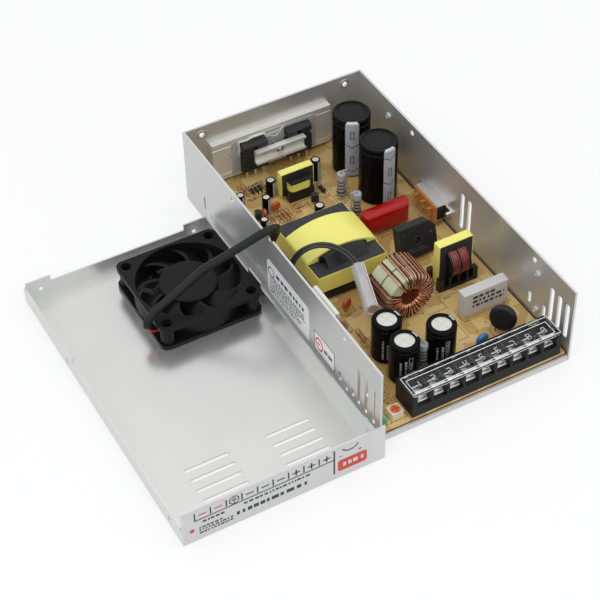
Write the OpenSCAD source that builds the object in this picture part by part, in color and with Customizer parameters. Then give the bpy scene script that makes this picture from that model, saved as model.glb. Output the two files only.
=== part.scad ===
// Enclosed switching power supply, opened for service: the folded chassis with its circuit board,
// and the fan cover lying upside down beside it, still joined by the fan cable.
// X runs across the chassis, Y from the terminals (front) to the back wall, Z up from the base.

/* [Chassis] */
// Length of the chassis, from the front lip to the back wall
chassis_l = 215; // [196:1:236]
// Width across the side walls
chassis_w = 115; // [104:1:130]
// Height of the side and back walls
chassis_h = 49; // [47:0.5:60]
// Thickness of the chassis sheet
sheet_t = 1.2; // [1:0.1:1.5]
// Height of the front lip
lip_h = 4.4; // [3:0.1:6]
// Spacing of the four base holes across the chassis
base_hole_x = 50; // [40:1:70]
// Spacing of the four base holes along the chassis
base_hole_y = 150; // [140:1:160]
// Radius of the base and side mounting holes
mount_hole_r = 1.65; // [1.3:0.05:2]

/* [Board] */
// Height of the spacers under the board
spacer_h = 3.6; // [3:0.1:6]
// Thickness of the circuit board
board_t = 1.6; // [1.2:0.1:2.4]
// Gap between the board and the insulating sheet at each side
board_gap = 0.6; // [0.4:0.1:3]

/* [Cover] */
// Thickness of the cover sheet
cover_t = 1; // [0.8:0.1:1.2]
// Gap between the closed cover and each side wall
cover_gap = 0.55; // [0.3:0.05:1]
// Length of the terminal zone that the closed cover leaves free
terminal_zone = 21.4; // [19:0.2:26]
// Height of the side flanges
flange_h = 10.2; // [9:0.2:12]
// Height of the front flap
flap_h = 23; // [18:0.5:26]
// Depth of the cover screws below the closed lid
screw_drop = 5.5; // [5:0.1:6]
// Distance of the back wall's cover screws from the middle
back_screw_x = 46.3; // [44:0.1:48]
// Gap between the open cover and the chassis
lay_gap = 2.4; // [1.5:0.1:20]

/* [Fan] */
// Side of the square fan frame
fan_w = 60; // [58:1:62]
// Depth of the fan
fan_d = 15; // [14.5:0.5:20]
// Spacing of the fan's corner holes
fan_hole_pitch = 50; // [49:0.5:51]
// Radius of the fan's air bore
fan_bore_r = 28.5; // [27.5:0.1:28.8]
// Gap between the blade tips and the bore
tip_gap = 0.8; // [0.5:0.1:1.5]
// Radius of the impeller's hub
hub_r = 16; // [15:0.1:17]
// Number of blades
blades = 9; // [7:1:11]
// Radius of the fan's shaft
shaft_r = 1; // [0.8:0.05:1.2]
// Radial clearance of the shaft in its bearing
shaft_clearance = 0.03; // [0.02:0.01:0.05]

/* [Capacitors] */
// Diameter of the two bulk capacitors
bulk_d = 22; // [18:0.5:22.5]
// Height of the two bulk capacitors
bulk_h = 39; // [30:0.5:41]
// Diameter of the three output capacitors
output_d = 16; // [12:0.5:16.5]
// Height of the three output capacitors
output_h = 25; // [16:0.5:30]

/* [Main transformer] */
// Width of the ferrite core
core_w = 41.2; // [40:0.2:44]
// Length of the ferrite core
core_l = 46.8; // [45:0.2:49]
// Height of the ferrite core
core_h = 12; // [11:0.2:14]
// Depth of each yoke
yoke_d = 10; // [9:0.2:11]
// Rise of the arched winding above the core
arch_rise = 6.5; // [5:0.1:8]

/* [Output toroid] */
// Outer radius of the winding
toroid_r = 14.6; // [13.5:0.1:14.8]
// Radius of the hole left inside the winding
toroid_hole_r = 5; // [4.8:0.1:5.6]
// Length of the wound toroid along its axis
toroid_l = 22; // [20:0.5:24]
// Thickness of the layer of wire
wire_d = 1; // [0.8:0.05:1]
// Number of bundles of turns
turns = 30; // [20:1:36]

/* [Terminal strip] */
// Number of terminals, as far as the board's width holds them
ways = 9; // [5:1:9]
// Pitch of the terminals
way_pitch = 9.5; // [8.5:0.1:12]
// Depth of the strip
strip_d = 16.5; // [15:0.5:18]
// Height of the barriers
barrier_h = 13.8; // [13:0.2:16]
// Thickness of the barriers
barrier_t = 1.6; // [1.2:0.1:1.8]
// Height of the strip's floor under the clamp plates
floor_h = 6.4; // [5:0.2:7.4]

/* [Hidden] */
$fn = 48;
cut = 0.5;
seat_gap = 0.05;

// Chassis and board levels
front_y = -chassis_l / 2;
back_y = chassis_l / 2;
in_x = chassis_w / 2 - sheet_t;
back_in = back_y - sheet_t;
seam = 0.2;
film_t = 0.4;
board_z = sheet_t + spacer_h;
top_z = board_z + board_t;
board_front_gap = 0.3;
board_back_gap = 1.5;
board_x = in_x - film_t - board_gap;
board_front = front_y + sheet_t + board_front_gap;
board_back = back_in - board_back_gap;
spacer_r = 3;
collar_r = 3;
collar_h = 1.4;
board_screw_r = 1.25;
board_head_r = 2.7;
board_head_h = 1.8;
board_screw_edge = 5.8;
board_screw_at = [
  [-board_x + board_screw_edge, board_front + 26], [board_x - board_screw_edge, board_front + 60],
  [-board_x + board_screw_edge, 40], [board_x - board_screw_edge, -12],
  [-board_x + board_screw_edge, board_back - 16], [board_x - board_screw_edge, board_back - 11]
];
side_screw_y = [front_y + 35.5, back_y - 59.3];
cover_hole_r = 1.7;
back_collar_r = 2.8;
back_collar_h = 0.4;

// Machine screws: one size for the clip, heatsink, clamp and selector
screw_r = 1.4;
screw_fit = 0.1;
head_r = 2.4;
head_h = 1.7;

// Rear heatsink bar and what it carries
bar_x0 = -in_x + 14;
bar_x1 = in_x - 21.7;
bar_d = 4;
bar_z0 = top_z + 2.8;
bar_h = 26.3;
bar_y = back_in - bar_d;
bar_groove_r = 0.5;
bar_groove_z = [bar_z0 + 4, bar_z0 + 22.6];
bar_hole_x = [bar_x0 + 10.5, bar_x1 - 5];
bar_hole_z = bar_z0 + 14.2;
bar_screw_sink = 2;
bore_spare = 0.8;
pad_t = 0.3;
pad_w = 54.5;
pad_h = 23;
pad_drop = 1.4;
transistor_w = 15.6;
transistor_d = 4.8;
transistor_h = 20;
transistor_x = [-17.2, 11.4];
transistor_z = top_z + 5.2;
clip_x = -2.5;
clip_w = 32;
clip_h = 8.6;
clip_t = 1.2;
clip_flange = 2.4;
clip_z = transistor_z + 6.6;
clip_screw_sink = 2.4;
transistor_y = bar_y - pad_t - transistor_d;
clip_y = transistor_y - clip_t;
clip_screw_z = clip_z + clip_h / 2;

// Output rectifier on the left wall
diode_w = 10.2;
diode_d = 4.6;
diode_h = 15;
diode_z = top_z + 10.8;
diode_pitch = 13.2;
clamp_y = -35.3;
clamp_w = 24;
clamp_d = 6;
clamp_h = 10;
clamp_z = top_z + 17.6;
clamp_x = -in_x + diode_d;
clamp_groove = 1;
clamp_groove_d = 0.8;

// Capacitor places on the board
bulk_at = [[board_x - 19.7, board_back - 24.8], [board_x - 19.3, board_back - 54]];
output_at = [[-25.6, board_front + 45.6], [-25.6, board_front + 28.2], [-3.2, board_front + 28.8]];

// Main transformer
core_x = -16.4;
core_y = 13.1;
core_z = top_z + 5.6;
core_leg = 6;
core_centre = 13;
core_x0 = core_x - core_w / 2;
core_x1 = core_x + core_w / 2;
core_y0 = core_y - core_l / 2;
core_top = core_z + core_h;
bobbin_wall = 1;
bobbin_flange = 1.2;
tape_t = 0.5;
arch_z = core_top + 3 * seat_gap;
arch_edge = 0.8;
arch_shoulder = 2.2;
wrap_t = 0.5;
wrap_low = core_z + 4;
saddle_w = core_w + 2 * tape_t + 4 * seat_gap;
cheek_drop = 1;
lead_cover_w = 25;
lead_cover_d = 6.4;

// Driver transformer
driver_x = -4;
driver_y = board_back - 32.4;
driver_w = 20;
driver_d = 4.8;
driver_z = top_z + 1.8;
driver_h = 15.8;
driver_leg = 2.8;
driver_yoke = 4;
driver_centre = 5;
driver_reach = 5;

// Mains choke
choke_x = board_x - 21.1;
choke_y = -30.2;
choke_w = 20.3;
choke_d = 5.6;
choke_z = top_z + 1.4;
choke_h = 27.2;
choke_leg = 4;
choke_bar = 5;
choke_flange_t = 1;
choke_flange_r = 9.3;
choke_wind_r = 8.7;
choke_tube_r = 4.6;
choke_foot_d = 3.4;
choke_rail_h = 2.2;
choke_post_w = 3;
choke_post_h = 8.5;
choke_post_out = 2;

// Output toroid, its axis along Y
toroid_x = -1.2;
toroid_y = -34.2;
toroid_z = top_z + toroid_r + 0.4;
toroid_first = 152;
toroid_sweep = 332;
turn_gap = 1;
tail_angles = [258, 282];
tail_depth = 4;
tail_r = 0.42;

// Selector switch on the right wall
selector_y = 20.8;
selector_l = 22.4;
selector_z = top_z + 3.6;
selector_h = 10.5;
selector_d = 6.6;
selector_x = in_x - selector_d;
can_t = 0.6;
ear_t = 1;
ear_reach = 5.6;
slider_l = 7;
slider_h = 4.6;
slider_travel = 5;
slider_gap = 0.25;
slider_z = selector_z + selector_h / 2;

// Thermal switch sleeve beside the toroid
sleeve_r = 4;
sleeve_wall = 0.4;
sleeve_l = 33;
sleeve_back = [-17, board_front + 89, top_z + 21.4];
sleeve_turn = -18;
switch_size = [5.2, 3.2, 15];
switch_in = 7;

// Terminal strip
strip_end = 2;
strip_side = 3.35;
trimmer_room = 17.6;
way_count = min(ways, floor((2 * board_x - trimmer_room - strip_side - 2 * strip_end) / way_pitch));
strip_l = way_count * way_pitch + 2 * strip_end;
strip_x0 = board_x - strip_side - strip_l;
strip_y0 = board_front;
strip_back = strip_y0 + strip_d;
strip_wall = 3;
strip_floor = top_z + floor_h;
strip_top = top_z + barrier_h;
plate_t = 0.8;
terminal_r = 1.7;
hinge_y = strip_back - strip_wall / 2;
hinge_z = strip_top - 1;
hinge_pin_r = 0.7;
hinge_fit = 0.05;
knuckle_r = 1.35;
knuckle_w = 6;
lid_t = 1;
lid_rim = 1.1;

// Trimmer, light and fan connector
trimmer_at = [-board_x + 11.7, board_front + 7];
trimmer_w = 7;
trimmer_h = 3.4;
rotor_r = 2.6;
rotor_sink = 2;
light_at = [-board_x + 4.3, board_front + 5.3];
connector_at = [-board_x + 7.3, 27];
connector_h = 8.5;

// Open cover beside the chassis
cover_w = chassis_w - 2 * sheet_t - 2 * cover_gap;
cover_l = chassis_l - sheet_t - terminal_zone;
cover_x = -chassis_w / 2 - lay_gap - cover_w / 2;
cover_front = front_y - 8.9;
cover_back = cover_front + cover_l;
close_shift = back_in - cover_gap - cover_back;
back_flange_h = 8.8;
back_tab_h = 12.6;
back_tab_w = 14.5;
slot_pitch = 7.1;
slot_l = 25;
slot_w = 2.2;
slot_side = 20.35;
slot_first = 19;
cover_screw_r = 1.3;

// Fan on the cover
fan_side_gap = 2.75;
fan_back_gap = 13.7;
fan_x = cover_x + cover_w / 2 - cover_t - fan_side_gap - fan_w / 2;
fan_y = cover_back - fan_back_gap - fan_w / 2;
fan_z = cover_t;
fan_flange = 2.6;
fan_wall = 1.3;
fan_corner_r = 4.4;
post_r = 3.9;
fan_hole_r = 2.2;
fan_recess_r = 2.9;
fan_recess_d = 1.6;
strut_w = 3;
strut_h = 2;
fan_seat_h = 2;
fan_seat_r = hub_r - 0.6;
hub_top = fan_d - 1.6;
hub_wall = 1.4;
bearing_r = 2.8;
boss_r = 3.8;
boss_gap = 2.6;
boss_top = hub_top - hub_wall - boss_gap;
cup_gap = 0.8;
shaft_boss_r = 2.6;
shaft_boss_h = 2.2;
blade_tube_r = 21;
blade_t = 1.1;
blade_pitch = 56;
blade_in = 3;
blade_start = 23;

// Cord routes, chosen by hand: round the fan, over the wall and down to the board
cord_d = 4.6;
wire_pair_d = 2.4;
lead_d = 1.8;
wall_x = -chassis_w / 2;
wires_y = -19.2;
wires_x = -sqrt(pow(fan_bore_r + fan_wall - 0.1, 2) - pow(wires_y, 2));
wires_at_fan = [
  [wires_x, wires_y, 7], [-26, wires_y, 7], [-29, wires_y, 7.2], [-31.4, wires_y, 8.2], [-33, wires_y, 10],
  [-33.6, wires_y, 12.4]
];
cord_at_fan = [
  [-33.6, wires_y, 12], [-33.2, wires_y, 14.6], [-32.2, wires_y, 16.8], [-30.4, wires_y, 18.8],
  [-27.8, -18.8, 20.4], [-20.6, -17, 22], [-9.4, -15.4, 26], [2.6, -14.8, 32], [14.2, -18.6, 39.4]
];
cord_at_wall = [
  [-9.6, 10, -1], [-5.6, 8.8, 1.6], [-1.2, 8.2, 3.2], [3.2, 8.8, 2.8], [7, 10.8, 0.4], [9, 13.8, -3.6]
];
cord_at_board = [
  [0.2, -9.8, 34], [0.2, -7, 28.4], [0, -4.6, 22.8], [0, -2.6, 17.4], [0, -1, 12.4], [0, 0, 8.5]
];
fan_route = concat(
  [for (p = cord_at_fan) p + [fan_x, fan_y, fan_z]],
  [for (p = cord_at_wall) p + [wall_x, 0, chassis_h]],
  [for (p = cord_at_board) p + [connector_at[0], connector_at[1], top_z]]
);
lead_a_route = [
  [-20.2, -23.6, 21.4], [-19, -19.8, 21.4], [-18.2, -16.3, 21.8], [-18.3, -13.6, 23], [-19.3, -11, 24.8],
  [-21, -8.4, 26.6], [-23.2, -5.8, 28], [-26.2, -3.2, 29.2], [-30.4, -0.4, 29.6], [-35.3, 1.6, 28.8],
  [-39.8, 2.9, 26.4], [-43.1, 3.7, 22.6], [-45.2, 3.9, 17.6], [-46.4, 3.9, 11.6], [-46.8, 3.9,
    5.6], [-46.8, 3.9, 0]
];
lead_b_route = [
  [-18.2, -24.2, 21.4], [-17, -20.4, 21.4], [-16.2, -16.7, 21.8], [-16.3, -13.4, 23], [-17.5, -9.8, 24.8],
  [-19.3, -7, 26.6], [-21.6, -4.2, 28], [-25, -1.2, 29.2], [-29.6, 1.6, 29.6], [-34.7, 3.6, 28.8],
  [-39.4, 5.1, 26.4], [-42.9, 5.9, 22.6], [-45.2, 6.1, 17.6], [-46.4, 6.1, 11.6], [-46.8, 6.1,
    5.6], [-46.8, 6.1, 0]
];

// Shared shapes

// Extrudes a section drawn in (y, z) along X
module along_x(x0, len) {
  translate([x0, 0, 0]) rotate([90, 0, 90]) linear_extrude(len) children();
}

// Extrudes a section drawn in (x, z) along Y
module along_y(y0, len) {
  translate([0, y0 + len, 0]) rotate([90, 0, 0]) linear_extrude(len) children();
}

// Box given by its middle in X and Y, and its lowest level
module block(at, size) {
  translate([at[0] - size[0] / 2, at[1] - size[1] / 2, at[2]]) cube(size);
}

// Rectangle about the origin with round corners
module rounded_rect(w, h, r) {
  square([w - 2 * r, h], center = true);
  square([w, h - 2 * r], center = true);
  for (sx = [-1, 1], sy = [-1, 1]) translate([sx * (w / 2 - r), sy * (h / 2 - r)]) circle(r);
}

// U section of a folded tray: base at the bottom, outer corners round, inner corners sharp
module tray_section(w, h, t) {
  difference() {
    union() {
      translate([-w / 2, t]) square([w, h - t]);
      translate([-w / 2 + t, 0]) square([w - 2 * t, 2 * t]);
      for (s = [-1, 1]) translate([s * (w / 2 - t), t]) circle(t);
    }
    translate([-w / 2 + t, t]) square([w - 2 * t, h]);
  }
}

// Cut that rounds a tray's lower edge along X; side is the way the edge faces in Y
module lower_edge_cut(y, r, side, w) {
  difference() {
    translate([-w / 2 - cut, side > 0 ? y - r : y - cut, -cut]) cube([w + 2 * cut, r + cut, r + cut]);
    translate([-w / 2 - 2 * cut, y - side * r, r]) rotate([0, 90, 0]) cylinder(r = r, h = w + 4 * cut);
  }
}

// Cylinder along X through a side wall
module wall_drill(side, y, z, r, depth) {
  translate([side * (in_x + sheet_t / 2), y, z]) rotate([0, 90, 0])
    cylinder(r = r, h = depth, center = true);
}

// Upright slot with round ends through a side wall
module wall_slot(side, y, z0, z1, w) {
  wall_drill(side, y, z0 + w / 2, w / 2, 2 * sheet_t);
  wall_drill(side, y, z1 - w / 2, w / 2, 2 * sheet_t);
  translate([side * (in_x + sheet_t / 2) - sheet_t, y - w / 2, z0 + w / 2])
    cube([2 * sheet_t, w, z1 - z0 - w]);
}

// Pan-head screw: the head rises from the origin, the shank hangs below
module screw(hr, hh, sr, len) {
  difference() {
    rotate_extrude() {
      square([hr, hh * 0.45]);
      intersection() {
        translate([0, hh - hr * 1.55]) circle(hr * 1.55);
        square([hr, hh]);
      }
    }
    for (a = [0, 90]) rotate([0, 0, a]) translate([-hr * 0.6, -hr * 0.13, hh * 0.5])
      cube([hr * 1.2, hr * 0.26, hh]);
  }
  translate([0, 0, -len]) cylinder(r = sr, h = len + 0.1);
}

module machine_screw(len) {
  screw(head_r, head_h, screw_r, len);
}

// Electrolytic can standing on its base: sleeve edge rounded over a sunk lid, with a crimped groove
module can(r, h, lid_r) {
  edge = r * 0.12;
  groove = r * 0.09;
  rotate_extrude() difference() {
    union() {
      square([r - edge, h]);
      square([r, h - edge]);
      translate([r - edge, h - edge]) circle(edge);
    }
    translate([-cut, h - edge * 0.5]) square([lid_r + cut, h]);
    translate([r + groove * 0.35, h - r * 0.32]) circle(groove);
  }
}

// Upright axial resistor with a bent wire down its +X side
module upright_resistor(r, len) {
  reach = r + resistor_lead_out;
  bend_z = resistor_lift + len + resistor_bend;
  translate([0, 0, resistor_lift]) resistor_body(r, len);
  cylinder(r = resistor_lead_r, h = bend_z);
  translate([reach, 0, 0]) cylinder(r = resistor_lead_r, h = bend_z);
  translate([0, 0, bend_z]) rotate([0, 90, 0]) cylinder(r = resistor_lead_r, h = reach);
}

// Dog-bone body of a resistor, along Z
module resistor_body(r, len) {
  cap = len * 0.24;
  waist = r * 0.84;
  rotate_extrude() {
    square([waist, len]);
    for (z = [0, len - cap]) translate([0, z]) {
      square([r - 0.4, cap]);
      translate([0, 0.4]) square([r, cap - 0.8]);
      for (c = [0.4, cap - 0.4]) translate([r - 0.4, c]) circle(0.4);
    }
  }
}

// Axial part lying on the board, its body along X before the turn
module lying_axial(at, r, len, turn) {
  lead_r = 0.3;
  span = len + 2.4;
  translate([at[0], at[1], top_z + r]) rotate([0, 0, turn]) {
    translate([-len / 2, 0, 0]) rotate([0, 90, 0]) resistor_body(r, len);
    translate([-span / 2, 0, 0]) rotate([0, 90, 0]) cylinder(r = lead_r, h = span);
    for (s = [-1, 1]) translate([s * span / 2, 0, -r]) cylinder(r = lead_r, h = r + lead_r);
  }
}

// Dipped disc standing on two wires, its face turned about Z and its top leaning back
module dipped_disc(at, r, t, turn, lean = 0) {
  lead_r = 0.35;
  edge = t * 0.42;
  lift = 1.6;
  translate([at[0], at[1], top_z]) rotate([0, 0, turn]) {
    translate([0, 0, lift]) rotate([-lean, 0, 0]) translate([0, 0, r]) rotate([90, 0, 0]) rotate_extrude()
      intersection() {
      union() {
        translate([0, -t / 2]) square([r - edge, t]);
        translate([0, -t / 2 + edge]) square([r, t - 2 * edge]);
        for (s = [-1, 1]) translate([r - edge, s * (t / 2 - edge)]) circle(edge);
      }
      translate([0, -t]) square([2 * r, 2 * t]);
    }
    for (s = [-1, 1]) translate([s * r * 0.45, 0, 0]) cylinder(r = lead_r, h = lift + r * 0.6);
  }
}

// Flat package with three legs: drawn against a wall at y = 0, its front towards -Y
module power_package(w, d, h, z0) {
  chamfer = d * 0.3;
  leg_w = 1.2;
  leg_t = 0.7;
  leg_pitch = w * 0.34;
  difference() {
    along_x(-w / 2, w) polygon([
      [0, z0], [0, z0 + h], [-d + chamfer, z0 + h], [-d, z0 + h - chamfer], [-d,
        z0 + chamfer], [-d + chamfer, z0]
    ]);
    translate([0, cut, z0 + h * 0.82]) rotate([90, 0, 0]) cylinder(r = w * 0.1, h = d + 2 * cut);
    for (s = [-1, 1]) translate([s * w / 2, cut, z0 + h * 0.72]) rotate([90, 0, 0])
      cylinder(r = w * 0.09, h = d + 2 * cut);
  }
  for (i = [-1, 0, 1]) translate([i * leg_pitch - leg_w / 2, -d * 0.6, top_z])
    cube([leg_w, leg_t, z0 - top_z + 0.5]);
}

// Tube of round section swept along a list of points
function unit(v) = v / norm(v);
function tangent(path, i) = unit(path[min(i + 1, len(path) - 1)] - path[max(i - 1, 0)]);
function across(t) = unit(cross(t, [0.24, 0.93, -0.28]));
function ring_at(path, i, r, sides) = let(t = tangent(path, i), u = across(t), v = cross(t, u))
  [for (k = [0:sides - 1]) path[i] + r * (cos(360 * k / sides) * u + sin(360 * k / sides) * v)];

module cord(path, d, sides) {
  n = len(path);
  points = [for (i = [0:n - 1]) each ring_at(path, i, d / 2, sides)];
  walls = [for (i = [0:n - 2], k = [0:sides - 1])
    let(a = i * sides + k, b = i * sides + (k + 1) % sides) [a, b, b + sides, a + sides]];
  first = [for (k = [sides - 1:-1:0]) k];
  last = [for (k = [0:sides - 1]) (n - 1) * sides + k];
  polyhedron(points, concat(walls, [first, last]), convexity = 6);
}

// Chassis

// Openings of the side walls as [side, distance from the front, low end, high end, width]
wall_slots = [
  [-1, 6.5, 8.8, 33.8, 2.8], [-1, 13.9, 9.4, 34.4, 2.8], [-1, 20.9, 9.4, 34.4, 2.8],
  [-1, 26.5, 9.8, 15, 2.4], [-1, 39.6, 9.6, 16, 2.4], [-1, chassis_l - 24, 9.5, 19.4, 1.4],
  [1, 4.6, 14, 37, 3.4], [1, 11.4, 14.6, 37.2, 3.4], [1, 18.2, 14.6, 37.2, 3.4],
  [1, 23.6, 12.4, 20.2, 2.6], [1, 36.6, 12.4, 19.8, 2.6],
  [1, chassis_l / 2 - 11.6, 13.4, 37.8, 3.4], [1, chassis_l / 2 - 4.7, 13.4, 37.8, 3.4]
];
// Round holes of the side walls as [side, distance from the front, height, radius]
wall_holes = [[-1, chassis_l - 32.2, 10.6, 1.2], [-1, 33, 9.4, 1.5]];
// Holes with a drawn collar on the inside
wall_collars = [[1, chassis_l - 33.7, 38], [1, 32, 36.2], [1, 30.6, 11.4]];
collar_hole_r = 1.25;
wall_collar_r = 2.3;
wall_collar_h = 1;
top_notch_y = 3.1;
top_notch = [3.4, 1.6];
selector_window_l = slider_l + slider_travel + 2 * slider_gap;

module chassis() {
  color([0.78, 0.79, 0.8]) difference() {
    union() {
      along_y(front_y, chassis_l) tray_section(chassis_w, chassis_h, sheet_t);
      translate([-in_x + seam, back_in, 0]) cube([2 * (in_x - seam), sheet_t, chassis_h]);
      translate([-in_x + seam, front_y, 0]) cube([2 * (in_x - seam), sheet_t, lip_h]);
      base_holes() cylinder(r = collar_r, h = sheet_t + collar_h);
      for (c = wall_collars) translate([c[0] * (in_x - wall_collar_h / 2), front_y + c[1], c[2]])
        rotate([0, 90, 0]) cylinder(r = wall_collar_r, h = wall_collar_h + 0.2, center = true);
      for (side = [-1, 1]) translate([side * back_screw_x, back_in - back_collar_h, chassis_h - screw_drop])
        rotate([-90, 0, 0]) cylinder(r = back_collar_r, h = back_collar_h + 0.2);
    }
    lower_edge_cut(back_y, 2 * sheet_t, 1, chassis_w);
    lower_edge_cut(front_y, sheet_t, -1, chassis_w);
    base_holes() translate([0, 0, -cut]) cylinder(r = mount_hole_r, h = sheet_t + collar_h + 2 * cut);
    for (s = wall_slots) wall_slot(s[0], front_y + s[1], s[2], s[3], s[4]);
    for (h = wall_holes) wall_drill(h[0], front_y + h[1], h[2], h[3], 2 * sheet_t);
    for (c = wall_collars) wall_drill(c[0], front_y + c[1], c[2], collar_hole_r, 8 * sheet_t);
    for (side = [-1, 1], y = side_screw_y)
      wall_drill(side, y, chassis_h - screw_drop, cover_hole_r, 2 * sheet_t);
    for (side = [-1, 1]) back_drill(side * back_screw_x, chassis_h - screw_drop, cover_hole_r);
    for (x = bar_hole_x) back_drill(x, bar_hole_z, screw_r + screw_fit);
    wall_drill(-1, clamp_y, clamp_z + clamp_h / 2, screw_r + screw_fit, 2 * sheet_t);
    for (y = selector_screw_y()) wall_drill(1, y, slider_z, screw_r + screw_fit, 2 * sheet_t);
    along_x(in_x - cut, sheet_t + 2 * cut) slider_window();
    translate([-in_x - sheet_t - cut, top_notch_y, chassis_h - top_notch[1]])
      cube([sheet_t + 2 * cut, top_notch[0], top_notch[1] + cut]);
  }
}

module base_holes() {
  for (sx = [-1, 1], sy = [-1, 1]) translate([sx * base_hole_x / 2, sy * base_hole_y / 2, 0]) children();
}

module back_drill(x, z, r) {
  translate([x, back_y + cut, z]) rotate([90, 0, 0]) cylinder(r = r, h = sheet_t + 2 * cut);
}

function selector_screw_y() = [for (s = [-1, 1]) selector_y + s * (selector_l / 2 + ear_reach / 2)];

module insulation_sheet() {
  flap_top = top_z - board_t / 4;
  len = board_back - board_front;
  color([0.08, 0.08, 0.09]) difference() {
    union() {
      translate([-in_x, board_front, sheet_t]) cube([2 * in_x, len, film_t]);
      for (side = [-1, 1]) block([side * (in_x - film_t / 2), board_front + len / 2, sheet_t],
        [film_t, len, flap_top - sheet_t]);
    }
    for (p = board_screw_at) translate([p[0], p[1], 0]) cylinder(r = spacer_r + 0.3, h = board_z);
    base_holes() cylinder(r = collar_r + 0.3, h = board_z);
  }
}

module circuit_board() {
  color([0.78, 0.6, 0.3]) difference() {
    translate([-board_x, board_front, board_z]) cube([2 * board_x, board_back - board_front, board_t]);
    for (p = board_screw_at) translate([p[0], p[1], board_z - cut])
      cylinder(r = board_screw_r + 0.3, h = board_t + 2 * cut);
  }
}

module board_spacers() {
  color([0.75, 0.75, 0.72]) for (p = board_screw_at) translate([p[0], p[1], sheet_t]) difference() {
    cylinder(r = spacer_r, h = spacer_h);
    translate([0, 0, -cut]) cylinder(r = board_screw_r + screw_fit, h = spacer_h + 2 * cut);
  }
}

module board_screws() {
  color([0.8, 0.8, 0.78]) for (p = board_screw_at) translate([p[0], p[1], top_z])
    screw(board_head_r, board_head_h, board_screw_r, board_t + spacer_h - 0.4);
}

// Screws that hold the clip, the heatsink bar, the rectifier clamp and the selector
module machine_screws() {
  color([0.75, 0.75, 0.73]) {
    translate([clip_x, clip_y, clip_screw_z]) rotate([90, 0, 0])
      machine_screw(clip_t + transistor_d + pad_t + clip_screw_sink);
    for (x = bar_hole_x) translate([x, back_y, bar_hole_z]) rotate([-90, 0, 0])
      machine_screw(sheet_t + bar_screw_sink);
    translate([clamp_x + clamp_d, clamp_y, clamp_z + clamp_h / 2]) rotate([0, 90, 0])
      machine_screw(clamp_d + diode_d + sheet_t - 0.1);
    for (y = selector_screw_y()) translate([in_x + sheet_t, y, slider_z]) rotate([0, 90, 0])
      machine_screw(sheet_t + ear_t + 2);
  }
}

// Rear heatsink and its transistors

module rear_heatsink() {
  color([0.8, 0.81, 0.8]) difference() {
    along_x(bar_x0, bar_x1 - bar_x0) difference() {
      translate([bar_y, bar_z0]) square([bar_d, bar_h]);
      for (z = bar_groove_z) translate([bar_y, z]) circle(bar_groove_r);
    }
    bar_bore(bar_hole_x[0], back_in + cut, bar_hole_z, bar_d + 2 * cut);
    bar_bore(bar_hole_x[1], back_in + cut, bar_hole_z, bar_screw_sink + bore_spare + cut);
    bar_bore(clip_x, bar_y + clip_screw_sink + bore_spare, clip_screw_z, bar_d + cut);
  }
}

// Bore for a machine screw, running towards the front from its back end
module bar_bore(x, y, z, depth) {
  translate([x, y, z]) rotate([90, 0, 0]) cylinder(r = screw_r + screw_fit, h = depth);
}

module rear_insulator_pad() {
  mid = (transistor_x[0] + transistor_x[1]) / 2;
  color([0.7, 0.71, 0.72]) difference() {
    translate([mid - pad_w / 2, bar_y - pad_t, transistor_z - pad_drop]) cube([pad_w, pad_t, pad_h]);
    translate([clip_x, bar_y + cut, clip_screw_z]) rotate([90, 0, 0]) cylinder(r = 2, h = pad_t + 2 * cut);
  }
}

module switching_transistors() {
  color([0.09, 0.09, 0.1]) for (x = transistor_x) translate([x, bar_y - pad_t, 0])
    power_package(transistor_w, transistor_d, transistor_h, transistor_z);
}

module transistor_clip() {
  color([0.7, 0.71, 0.7]) difference() {
    along_x(clip_x - clip_w / 2, clip_w) polygon([
      [clip_y + clip_t, clip_z], [clip_y + clip_t, clip_z + clip_h],
      [clip_y - clip_flange, clip_z + clip_h], [clip_y - clip_flange, clip_z + clip_h - clip_t],
      [clip_y, clip_z + clip_h - clip_t], [clip_y, clip_z + clip_t],
      [clip_y - clip_flange, clip_z + clip_t], [clip_y - clip_flange, clip_z]
    ]);
    translate([clip_x, clip_y + clip_t + cut, clip_screw_z]) rotate([90, 0, 0])
      cylinder(r = screw_r + screw_fit, h = clip_t + 2 * cut);
  }
}

// Output rectifier

module rectifier_diodes() {
  color([0.1, 0.1, 0.1]) for (s = [-1, 1]) translate([-in_x, clamp_y + s * diode_pitch / 2, 0])
    rotate([0, 0, 90])
    power_package(diode_w, diode_d, diode_h, diode_z);
}

module rectifier_clamp() {
  color([0.82, 0.82, 0.8]) difference() {
    along_y(clamp_y - clamp_w / 2, clamp_w) translate([clamp_x, clamp_z]) difference() {
      square([clamp_d, clamp_h]);
      for (z = [clamp_groove, clamp_h - 2 * clamp_groove])
        translate([clamp_d - clamp_groove_d, z]) square([clamp_groove_d + cut, clamp_groove]);
      translate([clamp_d / 2 - clamp_groove, clamp_h - clamp_groove_d])
        square([2 * clamp_groove, clamp_groove_d + cut]);
    }
    translate([clamp_x - cut, clamp_y, clamp_z + clamp_h / 2]) rotate([0, 90, 0])
      cylinder(r = screw_r + screw_fit, h = clamp_d + 2 * cut);
  }
}

// Large capacitors

module bulk_capacitors() {
  color([0.06, 0.06, 0.07]) for (p = bulk_at) translate([p[0], p[1], top_z])
    can(bulk_d / 2, bulk_h, bulk_d * 0.42);
}

module output_capacitors() {
  color([0.07, 0.07, 0.08]) for (p = output_at) translate([p[0], p[1], top_z])
    can(output_d / 2, output_h, output_d * 0.33);
}

// Main transformer: the core lies flat, its middle leg along Y

module main_transformer_core() {
  window_w = (core_w - 2 * core_leg - core_centre) / 2;
  color([0.13, 0.13, 0.14]) difference() {
    translate([core_x0, core_y0, core_z]) cube([core_w, core_l, core_h]);
    for (side = [-1, 1]) block(
      [core_x + side * (core_centre + window_w) / 2, core_y, core_z - cut],
      [window_w, core_l - 2 * yoke_d, core_h + 2 * cut]
    );
  }
}

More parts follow.
